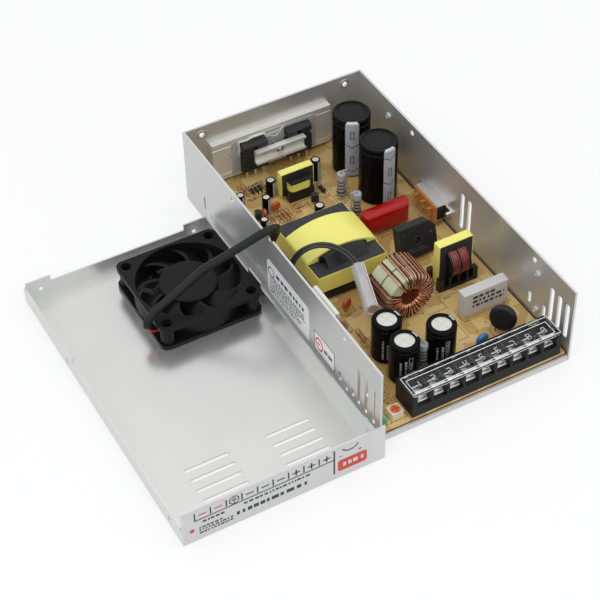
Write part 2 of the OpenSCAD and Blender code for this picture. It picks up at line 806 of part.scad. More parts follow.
// Arched section of the tape over the winding: straight sides, round shoulders and a wide crown.
// The drop lowers the crown for parts that lie under it.
module arch_outline(drop, low) {
  half = saddle_w / 2 + wrap_t;
  rise = arch_rise - arch_edge;
  crown_r = (half * half + rise * rise) / (2 * rise);
  crown_z = arch_z + arch_rise - drop - crown_r;
  round_x = half - arch_shoulder;
  round_z = crown_z + sqrt(pow(crown_r - arch_shoulder, 2) - pow(round_x, 2));
  fan = 2 * crown_r * [round_x, round_z - crown_z] / (crown_r - arch_shoulder);
  translate([-half, low]) square([2 * half, round_z - low]);
  for (side = [-1, 1]) translate([side * round_x, round_z]) circle(arch_shoulder);
  intersection() {
    translate([0, crown_z]) circle(crown_r, $fn = 96);
    polygon([
      [-round_x, round_z], [round_x, round_z], [fan[0], crown_z + fan[1]], [-fan[0], crown_z + fan[1]]
    ]);
  }
}

module main_transformer_bobbin() {
  tube_w = core_centre + 2 * bobbin_wall + 4 * seat_gap;
  tube_h = core_h + 2 * bobbin_wall + 4 * seat_gap;
  inner_l = core_l - 2 * yoke_d - 2 * seat_gap;
  flange_w = core_w - 2 * core_leg - 4 * seat_gap;
  flange_front = core_y - inner_l / 2;
  rail_z = top_z + 1.2;
  rail_side = 3;
  rail_over = 1;
  pin_r = 0.4;
  pin_pitch = 6.4;
  pin_h = 2;
  color([0.1, 0.09, 0.09]) {
    difference() {
      union() {
        block([core_x, core_y, core_z - bobbin_wall - 2 * seat_gap], [tube_w, inner_l, tube_h]);
        for (y = [flange_front, flange_front + inner_l - bobbin_flange]) along_y(y, bobbin_flange)
          translate([core_x, 0]) intersection() {
            arch_outline(cheek_drop, rail_z);
            translate([-flange_w / 2, rail_z]) square([flange_w, core_top + arch_rise]);
          }
      }
      block([core_x, core_y, core_z - 2 * seat_gap],
        [core_centre + 4 * seat_gap, core_l, core_h + 4 * seat_gap]);
    }
    lead_cover(flange_front);
    for (s = [-1, 1]) {
      block(
        [core_x, core_y + s * (core_l / 2 - yoke_d / 2), rail_z],
        [core_w - 2 * rail_side, yoke_d + 2 * rail_over, core_z - 6 * seat_gap - rail_z]
      );
      for (i = [-2:2]) translate([core_x + i * pin_pitch, core_y + s * (core_l / 2 - rail_side), top_z])
        cylinder(r = pin_r, h = pin_h);
    }
  }
}

// Sloped black cover where the winding's leads leave over the front yoke
module lead_cover(y) {
  low = core_top + 2 * seat_gap;
  intersection() {
    along_x(core_x - lead_cover_w / 2, lead_cover_w)
      polygon([
        [y + seat_gap, low], [y + seat_gap, low + arch_rise], [y, low + arch_rise], [y - lead_cover_d, low]
      ]);
    along_y(core_y0, yoke_d + cut) translate([core_x, 0]) arch_outline(cheek_drop, core_z);
  }
}

module main_transformer_winding() {
  wind_l = core_l - 2 * yoke_d - 2 * seat_gap - 2 * bobbin_flange - 4 * seat_gap;
  inside_w = core_w - 2 * core_leg - 6 * seat_gap;
  tube_w = core_centre + 2 * bobbin_wall + 8 * seat_gap;
  low_z = core_z - 2.6;
  color([0.9, 0.85, 0.3]) along_y(core_y - wind_l / 2, wind_l) translate([core_x, 0]) difference() {
    union() {
      difference() {
        arch_outline(0, wrap_low);
        translate([-saddle_w / 2, wrap_low - cut]) square([saddle_w, arch_z - wrap_low + cut]);
      }
      translate([-inside_w / 2, low_z]) square([inside_w, arch_z + arch_edge - low_z]);
    }
    translate([-tube_w / 2, core_z - bobbin_wall - 4 * seat_gap])
      square([tube_w, core_h + 2 * bobbin_wall + 8 * seat_gap]);
  }
}

// Driver transformer: the core stands up, its middle leg along Z

module driver_transformer_core() {
  window_w = (driver_w - 2 * driver_leg - driver_centre) / 2;
  color([0.12, 0.12, 0.13]) difference() {
    translate([driver_x - driver_w / 2, driver_y, driver_z]) cube([driver_w, driver_d, driver_h]);
    for (side = [-1, 1]) block(
      [driver_x + side * (driver_centre + window_w) / 2, driver_y + driver_d / 2, driver_z + driver_yoke],
      [window_w, driver_d + 2 * cut, driver_h - 2 * driver_yoke]
    );
  }
}

module driver_transformer_bobbin() {
  mid_y = driver_y + driver_d / 2;
  tube_w = driver_centre + 2;
  window_z = driver_z + driver_yoke;
  window_h = driver_h - 2 * driver_yoke;
  flange_w = driver_w - 2 * driver_leg - 4 * seat_gap;
  flange_d = driver_d + 2 * driver_reach;
  flange_t = 0.9;
  rail_d = driver_reach - 0.8;
  color([0.1, 0.1, 0.1]) difference() {
    union() {
      block([driver_x, mid_y, window_z + seat_gap], [tube_w, driver_d + 2, window_h - 2 * seat_gap]);
      for (z = [window_z + seat_gap, window_z + window_h - flange_t - seat_gap])
        block([driver_x, mid_y, z], [flange_w, flange_d, flange_t]);
      for (s = [-1, 1]) block(
        [driver_x, mid_y + s * (flange_d - rail_d) / 2, top_z], [driver_w - 4, rail_d,
          window_z + flange_t - top_z]
      );
    }
    block([driver_x, mid_y, window_z - cut],
      [driver_centre + 4 * seat_gap, driver_d + 4 * seat_gap, window_h + 2 * cut]);
  }
}

module driver_transformer_winding() {
  mid_y = driver_y + driver_d / 2;
  flange_t = 0.9;
  low_z = driver_z + driver_yoke + flange_t + 2 * seat_gap;
  wind_h = driver_h - 2 * driver_yoke - 2 * flange_t - 4 * seat_gap;
  color([0.88, 0.8, 0.25]) translate([driver_x, mid_y, low_z]) linear_extrude(wind_h) difference() {
    rounded_rect(driver_w - 2 * driver_leg - 0.6, driver_d + 2 * driver_reach - 1, 3.2);
    square([driver_centre + 2 + 2 * seat_gap, driver_d + 2 + 2 * seat_gap], center = true);
  }
}

// Mains choke: a standing frame core with a level middle leg, and two windings side by side

choke_mid_z = choke_z + choke_h / 2;
choke_window_w = choke_w - 2 * choke_leg;
choke_bay = (choke_window_w - 4 * seat_gap - 3 * choke_flange_t) / 2;

module choke_core() {
  window_h = (choke_h - 2 * choke_leg - choke_bar) / 2;
  color([0.12, 0.12, 0.13]) difference() {
    translate([choke_x - choke_w / 2, choke_y - choke_d / 2, choke_z]) cube([choke_w, choke_d, choke_h]);
    for (z = [choke_z + choke_leg, choke_mid_z + choke_bar / 2])
      block([choke_x, choke_y, z], [choke_window_w, choke_d + 2 * cut, window_h]);
  }
}

module choke_bobbin() {
  len = choke_window_w - 4 * seat_gap;
  foot_y = choke_d / 2 + tape_t + choke_foot_d / 2;
  rail_l = choke_w + 2 * choke_post_out;
  color([0.09, 0.09, 0.09]) {
    difference() {
      translate([choke_x - len / 2, choke_y, choke_mid_z]) rotate([0, 90, 0]) {
        cylinder(r = choke_tube_r, h = len);
        for (i = [0:2]) translate([0, 0, i * (choke_flange_t + choke_bay)])
          cylinder(r = choke_flange_r, h = choke_flange_t);
      }
      block(
        [choke_x, choke_y, choke_mid_z - choke_bar / 2 - 2 * seat_gap],
        [choke_w, choke_d + 4 * seat_gap, choke_bar + 4 * seat_gap]
      );
    }
    for (s = [-1, 1]) translate([choke_x, choke_y + s * foot_y, top_z]) {
      block([0, 0, 0], [rail_l, choke_foot_d, choke_rail_h]);
      for (i = [-1:1]) block(
        [i * (choke_flange_t + choke_bay), 0, 0], [choke_flange_t, choke_foot_d,
          choke_mid_z - top_z - choke_tube_r]
      );
      for (i = [-1, 1]) block([i * (rail_l - choke_post_w) / 2, 0, 0],
        [choke_post_w, choke_foot_d, choke_post_h]);
    }
  }
}

module choke_windings() {
  color([0.6, 0.28, 0.2]) for (i = [0, 1])
    translate([choke_x + (i - 0.5) * (choke_bay + choke_flange_t), choke_y, choke_mid_z]) rotate([0, 90, 0])
      rotate_extrude() winding_section(choke_tube_r + seat_gap, choke_wind_r, choke_bay - 2 * seat_gap);
}

// Half section of a layered winding: bulging outer side, straight ends
module winding_section(r0, r1, w) {
  bulge = 0.5;
  arc_r = (w * w / 4 + bulge * bulge) / (2 * bulge);
  translate([r0, -w / 2]) square([r1 - bulge - r0, w]);
  intersection() {
    translate([r1 - arc_r, 0]) circle(arc_r, $fn = 96);
    translate([r1 - bulge - 0.1, -w / 2]) square([bulge + 1, w]);
  }
}

// Yellow tape round the outside of the three ferrite cores
module core_tapes() {
  tape_edge = 0.1;
  color([0.87, 0.82, 0.28]) {
    translate([core_x, core_y, core_z + 0.6]) linear_extrude(core_h - 1) tape_ring(core_w, core_l);
    along_y(driver_y + tape_edge, driver_d - 2 * tape_edge) translate([driver_x, driver_z + driver_h / 2])
      tape_ring(driver_w, driver_h);
    along_y(choke_y - choke_d / 2 + tape_edge, choke_d - 2 * tape_edge) translate([choke_x, choke_mid_z])
      tape_ring(choke_w, choke_h);
  }
}

module tape_ring(w, h) {
  difference() {
    rounded_rect(w + 2 * tape_t, h + 2 * tape_t, 0.8);
    square([w + 2 * seat_gap, h + 2 * seat_gap], center = true);
  }
}

// Output toroid: two cores stacked along Y, wound part of the way round

toroid_core_r = toroid_r - wire_d - seat_gap;
toroid_core_bore = toroid_hole_r + wire_d + seat_gap;
toroid_core_l = (toroid_l - 2 * wire_d - 2 * seat_gap) / 2;

module toroid_cores() {
  edge = 1;
  color([0.78, 0.82, 0.6]) for (s = [-1, 1])
    translate([toroid_x, toroid_y + s * toroid_core_l / 2, toroid_z])
    rotate([90, 0, 0]) rotate_extrude() translate([(toroid_core_r + toroid_core_bore) / 2, 0])
      rounded_rect(toroid_core_r - toroid_core_bore, toroid_core_l - 0.02, edge);
}

// Bundles of turns round the cores, counted from the gap at the upper left; two carry a tail to the board
module toroid_winding() {
  outer_w = toroid_r - toroid_hole_r;
  inner_w = outer_w - 2 * wire_d;
  step = toroid_sweep / turns;
  tail_turns = [for (a = tail_angles) floor((a - toroid_first) / step)];
  color([0.7, 0.38, 0.25]) translate([toroid_x, toroid_y, toroid_z]) for (i = [0:turns - 1]) {
    middle = toroid_first + (i + 0.5) * step;
    rotate([0, -toroid_first - i * step, 0]) rotate([90, 0, 0]) rotate_extrude(angle = step - turn_gap)
      translate([toroid_hole_r + outer_w / 2, 0]) difference() {
        rounded_rect(outer_w, toroid_l, 2);
        rounded_rect(inner_w, toroid_l - 2 * wire_d, 0.9);
      }
    if (len(search(i, tail_turns)) > 0) rotate([0, -middle, 0])
      translate([toroid_r - tail_depth, -(toroid_l - wire_d) / 2, 0]) rotate([0, 90, 0])
        cylinder(r = tail_r, h = (top_z - toroid_z) / sin(middle) - toroid_r + tail_depth);
  }
}

// Box and film parts

film_size = [29.6, 9.4, 15.4];
film_gap = 4.4;
film_at = [core_x1 + film_gap + film_size[0] / 2, 22.8];
box_size = [27.6, 6.2, 16];
box_at = [board_x - 18.9, board_front + 49.6];

module film_capacitor() {
  lift = 1.4;
  r = 4;
  lead_r = 0.45;
  color([0.72, 0.06, 0.07]) {
    intersection() {
      translate([film_at[0], film_at[1], top_z + lift + film_size[2] / 2]) {
        rotate([90, 0, 90]) linear_extrude(film_size[0], center = true)
          rounded_rect(film_size[1], film_size[2], r);
      }
      translate([film_at[0], film_at[1], top_z + lift + film_size[2] / 2])
        linear_extrude(film_size[2] + cut, center = true)
          rounded_rect(film_size[0], film_size[1] + 0.02, r);
    }
    for (s = [-1, 1]) translate([film_at[0] + s * film_size[0] * 0.4, film_at[1], top_z])
      cylinder(r = lead_r, h = lift + 2);
  }
}

module suppression_capacitor() {
  edge = 0.5;
  color([0.62, 0.61, 0.6]) intersection() {
    translate([box_at[0], box_at[1], top_z]) linear_extrude(box_size[2])
      rounded_rect(box_size[0], box_size[1], edge);
    translate([0, 0, top_z + box_size[2] / 2]) along_x(box_at[0] - box_size[0], 2 * box_size[0])
      translate([box_at[1], 0]) rounded_rect(box_size[1], box_size[2], edge);
  }
}

// Bridge rectifier: a leaning slab with one cut corner and a centre hole
module bridge_rectifier() {
  w = 23.6;
  h = 19.8;
  t = 5.6;
  corner = 4.6;
  lean = -15;
  foot = [board_x - 28.1, -8.9, top_z + 2.8];
  leg_pitch = 5.4;
  color([0.14, 0.14, 0.15]) {
    translate(foot) rotate([lean, 0, 0]) difference() {
      along_y(0, t) polygon([[-w / 2, 0], [w / 2, 0], [w / 2, h - corner], [w / 2 - corner, h], [-w / 2, h]]);
      translate([0, -cut, h / 2]) rotate([-90, 0, 0]) cylinder(r = 1.9, h = t + 2 * cut);
    }
    for (i = [-1.5:1:1.5]) translate([foot[0] + i * leg_pitch, foot[1] + t / 2, top_z])
      cylinder(r = 0.55, h = foot[2] - top_z + 1.6);
  }
}

module inrush_thermistor() {
  color([0.07, 0.08, 0.08]) dipped_disc([board_x - 20.7, board_front + 28.4], 7.4, 4.2, -50, 15);
}

// Voltage selector switch on the right wall

// Opening that the slider runs in, as a section across the wall
module slider_window() {
  translate([selector_y, slider_z]) square([selector_window_l, slider_h + 2 * slider_gap], center = true);
}

module selector_can() {
  ear_l = selector_l + 2 * ear_reach;
  ear_h = 7;
  color([0.72, 0.71, 0.68]) difference() {
    union() {
      for (z = [selector_z, selector_z + selector_h - can_t])
        translate([selector_x, selector_y - selector_l / 2, z]) cube([selector_d, selector_l, can_t]);
      along_x(in_x - ear_t, ear_t) translate([selector_y, slider_z]) {
        rounded_rect(ear_l, ear_h, 2);
        square([selector_l, selector_h], center = true);
      }
    }
    for (y = selector_screw_y()) translate([in_x - ear_t - cut, y, slider_z]) rotate([0, 90, 0])
      cylinder(r = screw_r + screw_fit, h = ear_t + 2 * cut);
    along_x(in_x - ear_t - cut, ear_t + 2 * cut) slider_window();
  }
}

module selector_body() {
  body_h = selector_h - 2 * can_t - 2 * seat_gap;
  pocket = 3;
  color([0.08, 0.08, 0.08]) difference() {
    translate([selector_x, selector_y - selector_l / 2, selector_z + can_t + seat_gap])
      cube([selector_d - ear_t, selector_l, body_h]);
    along_x(in_x - ear_t - pocket, pocket + cut) slider_window();
  }
}

module selector_board() {
  board = 1.2;
  lug = [3, 1.6, 0.5];
  lug_z = [2.6, 7.4];
  lug_pitch = 7;
  color([0.75, 0.42, 0.18]) {
    translate([selector_x - board, selector_y - selector_l / 2, selector_z - 1])
      cube([board, selector_l, selector_h + 0.6]);
    for (i = [-1, 0, 1], z = lug_z)
      block([selector_x - board - lug[0] / 2, selector_y + i * lug_pitch, selector_z + z], lug);
  }
}

// Slider at the front end of its travel, with a finger groove
module selector_slider() {
  inner = 2.7;
  x0 = in_x - ear_t - inner;
  x1 = in_x + sheet_t - 0.2;
  rib_pitch = 2;
  rib_gap = 0.8;
  color([0.75, 0.1, 0.08]) difference() {
    translate([x0, selector_y - slider_travel / 2 - slider_l / 2, slider_z - slider_h / 2])
      cube([x1 - x0, slider_l, slider_h]);
    for (i = [-1, 0, 1]) block(
      [x1, selector_y - slider_travel / 2 + i * rib_pitch, slider_z - slider_h], [1, rib_gap, 2 * slider_h]
    );
  }
}

// Small board parts

// Upright power resistors as [x, y, turn, radius, length of the body]
resistor_at = [
  [15.6, board_back - 47.8, 0, 2.6, 16.6], [15, 38.6, 180, 2.6, 16], [-14.4, board_front + 27.6, 90, 2.4,
    15.2]
];
resistor_lift = 2;
resistor_bend = 1.4;
resistor_lead_r = 0.4;
resistor_lead_out = 1.1;

module power_resistors() {
  color([0.62, 0.64, 0.68]) for (p = resistor_at) translate([p[0], p[1], top_z]) rotate([0, 0, p[2]])
    upright_resistor(p[3], p[4]);
}

// Small electrolytics as [x, y, radius, height]
small_cans = [
  [-board_x + 16.9, board_back - 27.8, 2.5, 11], [-26.6, board_back - 36.6, 2.5, 11],
  [-17.4, board_back - 24.8, 2.9, 11], [11.6, board_back - 25.4, 2.7, 14.5],
  [-board_x + 18.9, board_back - 52.6, 2.3, 11], [-1.8, board_back - 53.6, 2.9, 7]
];

module small_capacitors() {
  color([0.08, 0.08, 0.09]) for (c = small_cans) translate([c[0], c[1], top_z])
    can(c[2], c[3], c[2] * 0.72);
}

// Lying resistors and diodes as [x, y, turn, radius, length]
axial_resistors = [
  [-29.2, board_back - 16.2, 90, 1.4, 8], [-18.4, board_back - 16.4, 90, 0.95, 5],
  [-22.2, board_back - 44.8, 90, 0.95, 4.4], [-19.7, board_back - 44.4, 90, 0.95, 4.4],
  [-17.2, board_back - 44.8, 90, 0.95, 4.4], [-8.2, board_back - 43, 0, 0.95, 5],
  [-26.6, board_back - 44.2, 90, 0.95, 4.4], [-31.2, board_front + 61.6, 90, 1.3, 8],
  [-board_x + 9.7, board_front + 17.6, 0, 0.95, 5], [-34, -32, 90, 1.1, 5], [23.6, 35.6, 90, 0.95, 5]
];
axial_diodes = [
  [-25.8, board_back - 17.2, 90, 1, 4.8], [-23.3, board_back - 17.2, 90, 1, 4.8],
  [-20.8, board_back - 16.8, 90, 1, 4.8], [9.4, board_back - 35.8, 90, 1.3, 6]
];

module axial_parts() {
  color([0.66, 0.48, 0.32]) for (p = axial_resistors) lying_axial(p, p[3], p[4], p[2]);
  color([0.1, 0.09, 0.09]) for (p = axial_diodes) lying_axial(p, p[3], p[4], p[2]);
}

module disc_capacitors() {
  color([0.7, 0.25, 0.12]) {
    dipped_disc([-22.2, board_back - 39.4], 2.9, 2.2, 10);
    dipped_disc([-30.4, board_back - 41.4], 2.6, 2.2, 80);
    dipped_disc([-27.4, -23], 3.2, 2.4, 20);
  }
  color([0.12, 0.35, 0.65]) dipped_disc([board_x - 35.7, board_front + 24], 4, 3, 10);
}

// Small transistors: a half-round body on three wires, as [x, y, turn]
small_packages = [
  [0.4, board_back - 44.4, 160], [-34.6, board_back - 41.4, 80], [-board_x + 11.9, board_front + 25.4, 90]
];

module small_transistors() {
  r = 2.3;
  lift = 2.4;
  body = 4.6;
  color([0.09, 0.09, 0.09]) for (p = small_packages) translate([p[0], p[1], top_z]) rotate([0, 0, p[2]]) {
    translate([0, 0, lift]) intersection() {
      cylinder(r = r, h = body);
      translate([-r, -r, 0]) cube([2 * r, 1.65 * r, body]);
    }
    for (i = [-1, 0, 1]) translate([i * 1.27, 0, 0]) cylinder(r = 0.25, h = lift + 0.2);
  }
}

// Thermal switch in its sleeve, leaning on the toroid

module at_sleeve() {
  translate(sleeve_back) rotate([0, 0, sleeve_turn]) rotate([90, 0, 0]) children();
}

module thermal_sleeve() {
  color([0.8, 0.82, 0.84]) at_sleeve() difference() {
    cylinder(r = sleeve_r, h = sleeve_l);
    translate([0, 0, -cut]) cylinder(r = sleeve_r - sleeve_wall, h = sleeve_l + 2 * cut);
  }
}

module thermal_switch() {
  color([0.7, 0.5, 0.4]) at_sleeve() translate([0, 0, switch_in]) linear_extrude(switch_size[2])
    rounded_rect(switch_size[0], switch_size[1], 0.6);
}

module thermal_lead_a() {
  color([0.06, 0.06, 0.07]) translate([0, 0, top_z]) cord(lead_a_route, lead_d, 8);
}

module thermal_lead_b() {
  color([0.06, 0.06, 0.07]) translate([0, 0, top_z]) cord(lead_b_route, lead_d, 8);
}

// Terminal strip

function way_x(i) = strip_x0 + strip_end + (i + 0.5) * way_pitch;
screw_y = strip_y0 + (strip_d - strip_wall) * 0.56;
knuckle_x = [strip_x0 + 8, strip_x0 + strip_l - 8];
notch_w = knuckle_w + 0.4;

module terminal_body() {
  notch_low = hinge_z - knuckle_r - 0.45;
  color([0.1, 0.1, 0.11]) {
    difference() {
      union() {
        translate([strip_x0, strip_y0, top_z]) cube([strip_l, strip_d, floor_h]);
        translate([strip_x0, strip_back - strip_wall, top_z]) cube([strip_l, strip_wall, barrier_h]);
        for (i = [0:way_count])
          block([way_x(i - 0.5), strip_y0 + strip_d / 2, top_z], [barrier_t, strip_d, barrier_h]);
        for (x = [strip_x0, strip_x0 + strip_l - strip_end]) translate([x, strip_y0, top_z])
          cube([strip_end, strip_d, barrier_h]);
      }
      for (x = knuckle_x) translate([x - notch_w / 2, strip_back - strip_wall - 0.5, notch_low])
        cube([notch_w, strip_wall + 1, barrier_h]);
      for (i = [0:way_count - 1]) translate([way_x(i), screw_y, strip_floor - 5])
        cylinder(r = terminal_r + screw_fit, h = 5 + cut);
    }
    for (x = knuckle_x) translate([x - notch_w / 2 - 0.1, hinge_y, hinge_z]) rotate([0, 90, 0])
      cylinder(r = hinge_pin_r, h = notch_w + 0.2);
  }
}

module terminal_plates() {
  plate_w = way_pitch - barrier_t - 0.6;
  plate_d = 9.4;
  color([0.82, 0.81, 0.78]) for (i = [0:way_count - 1]) difference() {
    translate([way_x(i) - plate_w / 2, screw_y - plate_d / 2, strip_floor])
      cube([plate_w, plate_d, plate_t]);
    translate([way_x(i), screw_y, strip_floor - cut])
      cylinder(r = terminal_r + screw_fit, h = plate_t + 2 * cut);
  }
}

module terminal_screws() {
  color([0.84, 0.83, 0.8]) for (i = [0:way_count - 1])
    translate([way_x(i), screw_y, strip_floor + plate_t]) screw(3, 2.2, terminal_r, plate_t + 4.5);
}

// Clear lid: a thin plate with a rim and a middle rib, on two knuckles at the back
module terminal_cover() {
  lid_z = strip_top + seat_gap;
  lid_x0 = strip_x0 + 0.3;
  lid_l = strip_l - 0.6;
  lid_y0 = strip_y0 + 0.4;
  lid_back = hinge_y - 1.3;
  lid_d = lid_back - lid_y0;
  color([0.85, 0.88, 0.9, 0.5]) difference() {
    union() {
      translate([lid_x0, lid_y0, lid_z]) cube([lid_l, lid_d, lid_t]);
      translate([lid_x0, lid_y0, lid_z]) difference() {
        cube([lid_l, lid_d, lid_t + 1]);
        translate([lid_rim, lid_rim, lid_t - 0.1]) cube([lid_l - 2 * lid_rim, lid_d - 2 * lid_rim, 3]);
      }
      translate([lid_x0, lid_y0 + lid_d * 0.34, lid_z]) cube([lid_l, 0.8, lid_t + 0.8]);
      for (x = knuckle_x) translate([x - knuckle_w / 2, 0, 0]) {
        translate([0, hinge_y, hinge_z]) rotate([0, 90, 0]) cylinder(r = knuckle_r, h = knuckle_w);
        translate([0, lid_back - 0.4, lid_z]) cube([knuckle_w, hinge_y - lid_back + 0.4, 0.9]);
        translate([0, hinge_y - 0.6, hinge_z]) cube([knuckle_w, 1.2, lid_z + 0.9 - hinge_z]);
      }
    }
    for (x = knuckle_x) translate([x - knuckle_w, hinge_y, hinge_z]) rotate([0, 90, 0])
      cylinder(r = hinge_pin_r + hinge_fit, h = 2 * knuckle_w);
  }
}

// Trimmer, indicator light and fan connector

module trimmer_base() {
  color([0.9, 0.86, 0.76]) translate([trimmer_at[0], trimmer_at[1], top_z]) difference() {
    linear_extrude(trimmer_h) rounded_rect(trimmer_w, trimmer_w, 0.6);
    translate([0, 0, trimmer_h - rotor_sink]) cylinder(r = rotor_r + 0.05, h = trimmer_h);
  }
}

module trimmer_rotor() {
  rotor_z = top_z + trimmer_h - rotor_sink + seat_gap;
  color([0.85, 0.3, 0.12]) translate([trimmer_at[0], trimmer_at[1], rotor_z]) difference() {
    cylinder(r = rotor_r, h = rotor_sink + 0.3);
    for (a = [0, 90]) rotate([0, 0, a]) translate([-2, -0.4, rotor_sink - 0.6]) cube([4, 0.8, 2]);
  }
}

module indicator_light() {
  r = 1.5;
  h = 4;
  color([0.2, 0.7, 0.3]) translate([light_at[0], light_at[1], top_z]) rotate_extrude() {
    square([r + 0.4, 0.8]);
    square([r, h - r]);
    intersection() {
      translate([0, h - r]) circle(r);
      square([r, h]);
    }
  }
}

// Header on the board with the cable's plug pressed in
module fan_connector() {
  w = 7.4;
  d = 5.8;
  plug_w = 6;
  plug_d = 5.4;
  header_h = 5;
  color([0.88, 0.87, 0.82]) translate([connector_at[0], connector_at[1], top_z]) {
    linear_extrude(header_h) rounded_rect(w, d, 0.4);
    linear_extrude(connector_h) rounded_rect(plug_w, plug_d, 0.5);
    translate([-plug_w / 2 + 1, -d / 2 - 0.6, 0]) cube([plug_w - 2, 1.2, header_h + 1.6]);
  }
}

// Fan cover

// Concentric slots of the punched fan guard as [inner radius, outer radius]
guard_rings = [[8, 12.4], [14.4, 19.4], [21.4, 27]];
guard_spoke = 3;
clip_tab = [back_y - 66.4, back_y - 52.2];
clip_tab_h = 13.4;
end_tab_h = 11.8;
end_tab_l = 17;

module top_cover() {
  color([0.8, 0.81, 0.82]) difference() {
    union() {
      translate([cover_x, 0, 0]) along_y(cover_front, cover_l) tray_section(cover_w, flange_h, cover_t);
      along_y(cover_front, cover_t) translate([cover_x, flap_h / 2]) flap_outline();
      translate([cover_x - cover_w / 2 + cover_t, cover_back - cover_t, 0])
        cube([cover_w - 2 * cover_t, cover_t, back_flange_h]);
      for (side = [-1, 1]) {
        block([cover_x + side * (cover_w / 2 - cover_t - back_tab_w / 2), cover_back - cover_t / 2, 0],
          [back_tab_w, cover_t, back_tab_h]);
        block([wall_mid(side), clip_mid(), cover_t],
          [cover_t, clip_tab[1] - clip_tab[0], clip_tab_h - cover_t]);
        block([wall_mid(side), cover_front + end_tab_l / 2 + 2, cover_t],
          [cover_t, end_tab_l, end_tab_h - cover_t]);
      }
    }
    translate([cover_x, 0, 0]) lower_edge_cut(cover_back, cover_t, 1, cover_w);
    for (side = [-1, 1]) {
      translate([cover_x + side * back_screw_x, cover_back + cut, screw_drop]) rotate([90, 0, 0])
        cylinder(r = cover_screw_r, h = cover_t + 2 * cut);
      for (y = side_screw_y) translate([wall_mid(side), y - close_shift, screw_drop]) rotate([0, 90, 0])
        cylinder(r = cover_screw_r, h = 2 * cover_t, center = true);
      for (i = [0:3]) cover_slot(cover_x + side * (cover_w / 2 - slot_side - slot_l / 2),
        cover_front + slot_first + i * slot_pitch);
    }
    translate([fan_x, fan_y, 0]) {
      fan_guard();
      fan_holes() fan_countersink();
    }
  }
}

// Middle of a side flange's sheet
function wall_mid(side) = cover_x + side * (cover_w - cover_t) / 2;
function clip_mid() = (clip_tab[0] + clip_tab[1]) / 2 - close_shift;

// Front flap with its two lower corners rounded
module flap_outline() {
  r = 3;
  translate([-cover_w / 2, -flap_h / 2 + r]) square([cover_w, flap_h - r]);
  translate([-cover_w / 2 + r, -flap_h / 2]) square([cover_w - 2 * r, 2 * r]);
  for (s = [-1, 1]) translate([s * (cover_w / 2 - r), -flap_h / 2 + r]) circle(r);
}

module cover_slot(x, y) {
  half = (slot_l - slot_w) / 2;
  translate([x, y, -cut]) {
    block([0, 0, 0], [2 * half, slot_w, cover_t + 2 * cut]);
    for (s = [-1, 1]) translate([s * half, 0, 0]) cylinder(r = slot_w / 2, h = cover_t + 2 * cut);
  }
}

module fan_guard() {
  reach = 2 * fan_bore_r;
  difference() {
    for (g = guard_rings) translate([0, 0, -cut]) difference() {
      cylinder(r = g[1], h = cover_t + 2 * cut);
      translate([0, 0, -cut]) cylinder(r = g[0], h = cover_t + 4 * cut);
    }
    for (a = [45, 135]) rotate([0, 0, a]) block([0, 0, -3 * cut], [reach, guard_spoke, cover_t + 6 * cut]);
  }
}

// Fan, lying on the cover's inner face

fan_screw_r = 1.5;
fan_screw_l = 6;
countersink_r = 2.9;

module fan_holes() {
  for (sx = [-1, 1], sy = [-1, 1]) translate([sx * fan_hole_pitch / 2, sy * fan_hole_pitch / 2, 0])
    children();
}

// Countersunk hole for a fan screw in the cover's sheet
module fan_countersink() {
  cylinder(r1 = countersink_r, r2 = fan_screw_r + screw_fit, h = cover_t);
}

module fan_screws() {
  color([0.7, 0.7, 0.7]) translate([fan_x, fan_y, 0]) fan_holes() {
    translate([0, 0, 0.05]) cylinder(r1 = countersink_r - 0.1, r2 = fan_screw_r, h = cover_t - 0.05);
    translate([0, 0, cover_t - 0.1]) cylinder(r = fan_screw_r, h = fan_screw_l);
  }
}

module fan_frame() {
  color([0.1, 0.1, 0.11]) translate([fan_x, fan_y, fan_z]) {
    difference() {
      union() {
        for (z = [0, fan_d - fan_flange]) translate([0, 0, z]) linear_extrude(fan_flange)
          rounded_rect(fan_w, fan_w, fan_corner_r);
        cylinder(r = fan_bore_r + fan_wall, h = fan_d, $fn = 96);
        fan_holes() cylinder(r = post_r, h = fan_d);
      }
      translate([0, 0, -cut]) cylinder(r = fan_bore_r, h = fan_d + 2 * cut, $fn = 96);
      fan_holes() {
        translate([0, 0, -cut]) cylinder(r = fan_hole_r, h = fan_d + 2 * cut);
        translate([0, 0, fan_d - fan_recess_d]) cylinder(r = fan_recess_r, h = fan_recess_d + cut);
      }
    }
    difference() {
      union() {
        cylinder(r = fan_seat_r, h = fan_seat_h);
        cylinder(r = boss_r, h = boss_top);
        for (a = [20:90:290]) rotate([0, 0, a]) translate([fan_seat_r - 1, -strut_w / 2, 0])
          cube([fan_bore_r + fan_wall / 2 - fan_seat_r + 1, strut_w, strut_h]);
      }
      translate([0, 0, fan_seat_h / 2]) cylinder(r = bearing_r, h = boss_top);
    }
  }
}

// Bearing sleeve in the frame's boss, and the stator round it
module fan_motor() {
  stator_r = hub_r - hub_wall - 1.2;
  color([0.7, 0.55, 0.3]) translate([fan_x, fan_y, fan_z]) difference() {
    translate([0, 0, fan_seat_h / 2]) cylinder(r = bearing_r, h = boss_top - fan_seat_h / 2);
    translate([0, 0, fan_seat_h / 2 - cut]) cylinder(r = shaft_r + shaft_clearance, h = fan_d);
  }
  color([0.55, 0.3, 0.2]) translate([fan_x, fan_y, fan_z + fan_seat_h]) difference() {
    cylinder(r = stator_r, h = boss_top - fan_seat_h - 0.8);
    translate([0, 0, -cut]) cylinder(r = boss_r + seat_gap, h = fan_d);
  }
}

module fan_shaft() {
  color([0.8, 0.8, 0.8]) translate([fan_x, fan_y, fan_z]) translate([0, 0, fan_seat_h / 2 + 0.3])
    cylinder(r = shaft_r, h = hub_top - hub_wall / 2 - fan_seat_h / 2 - 0.3);
}

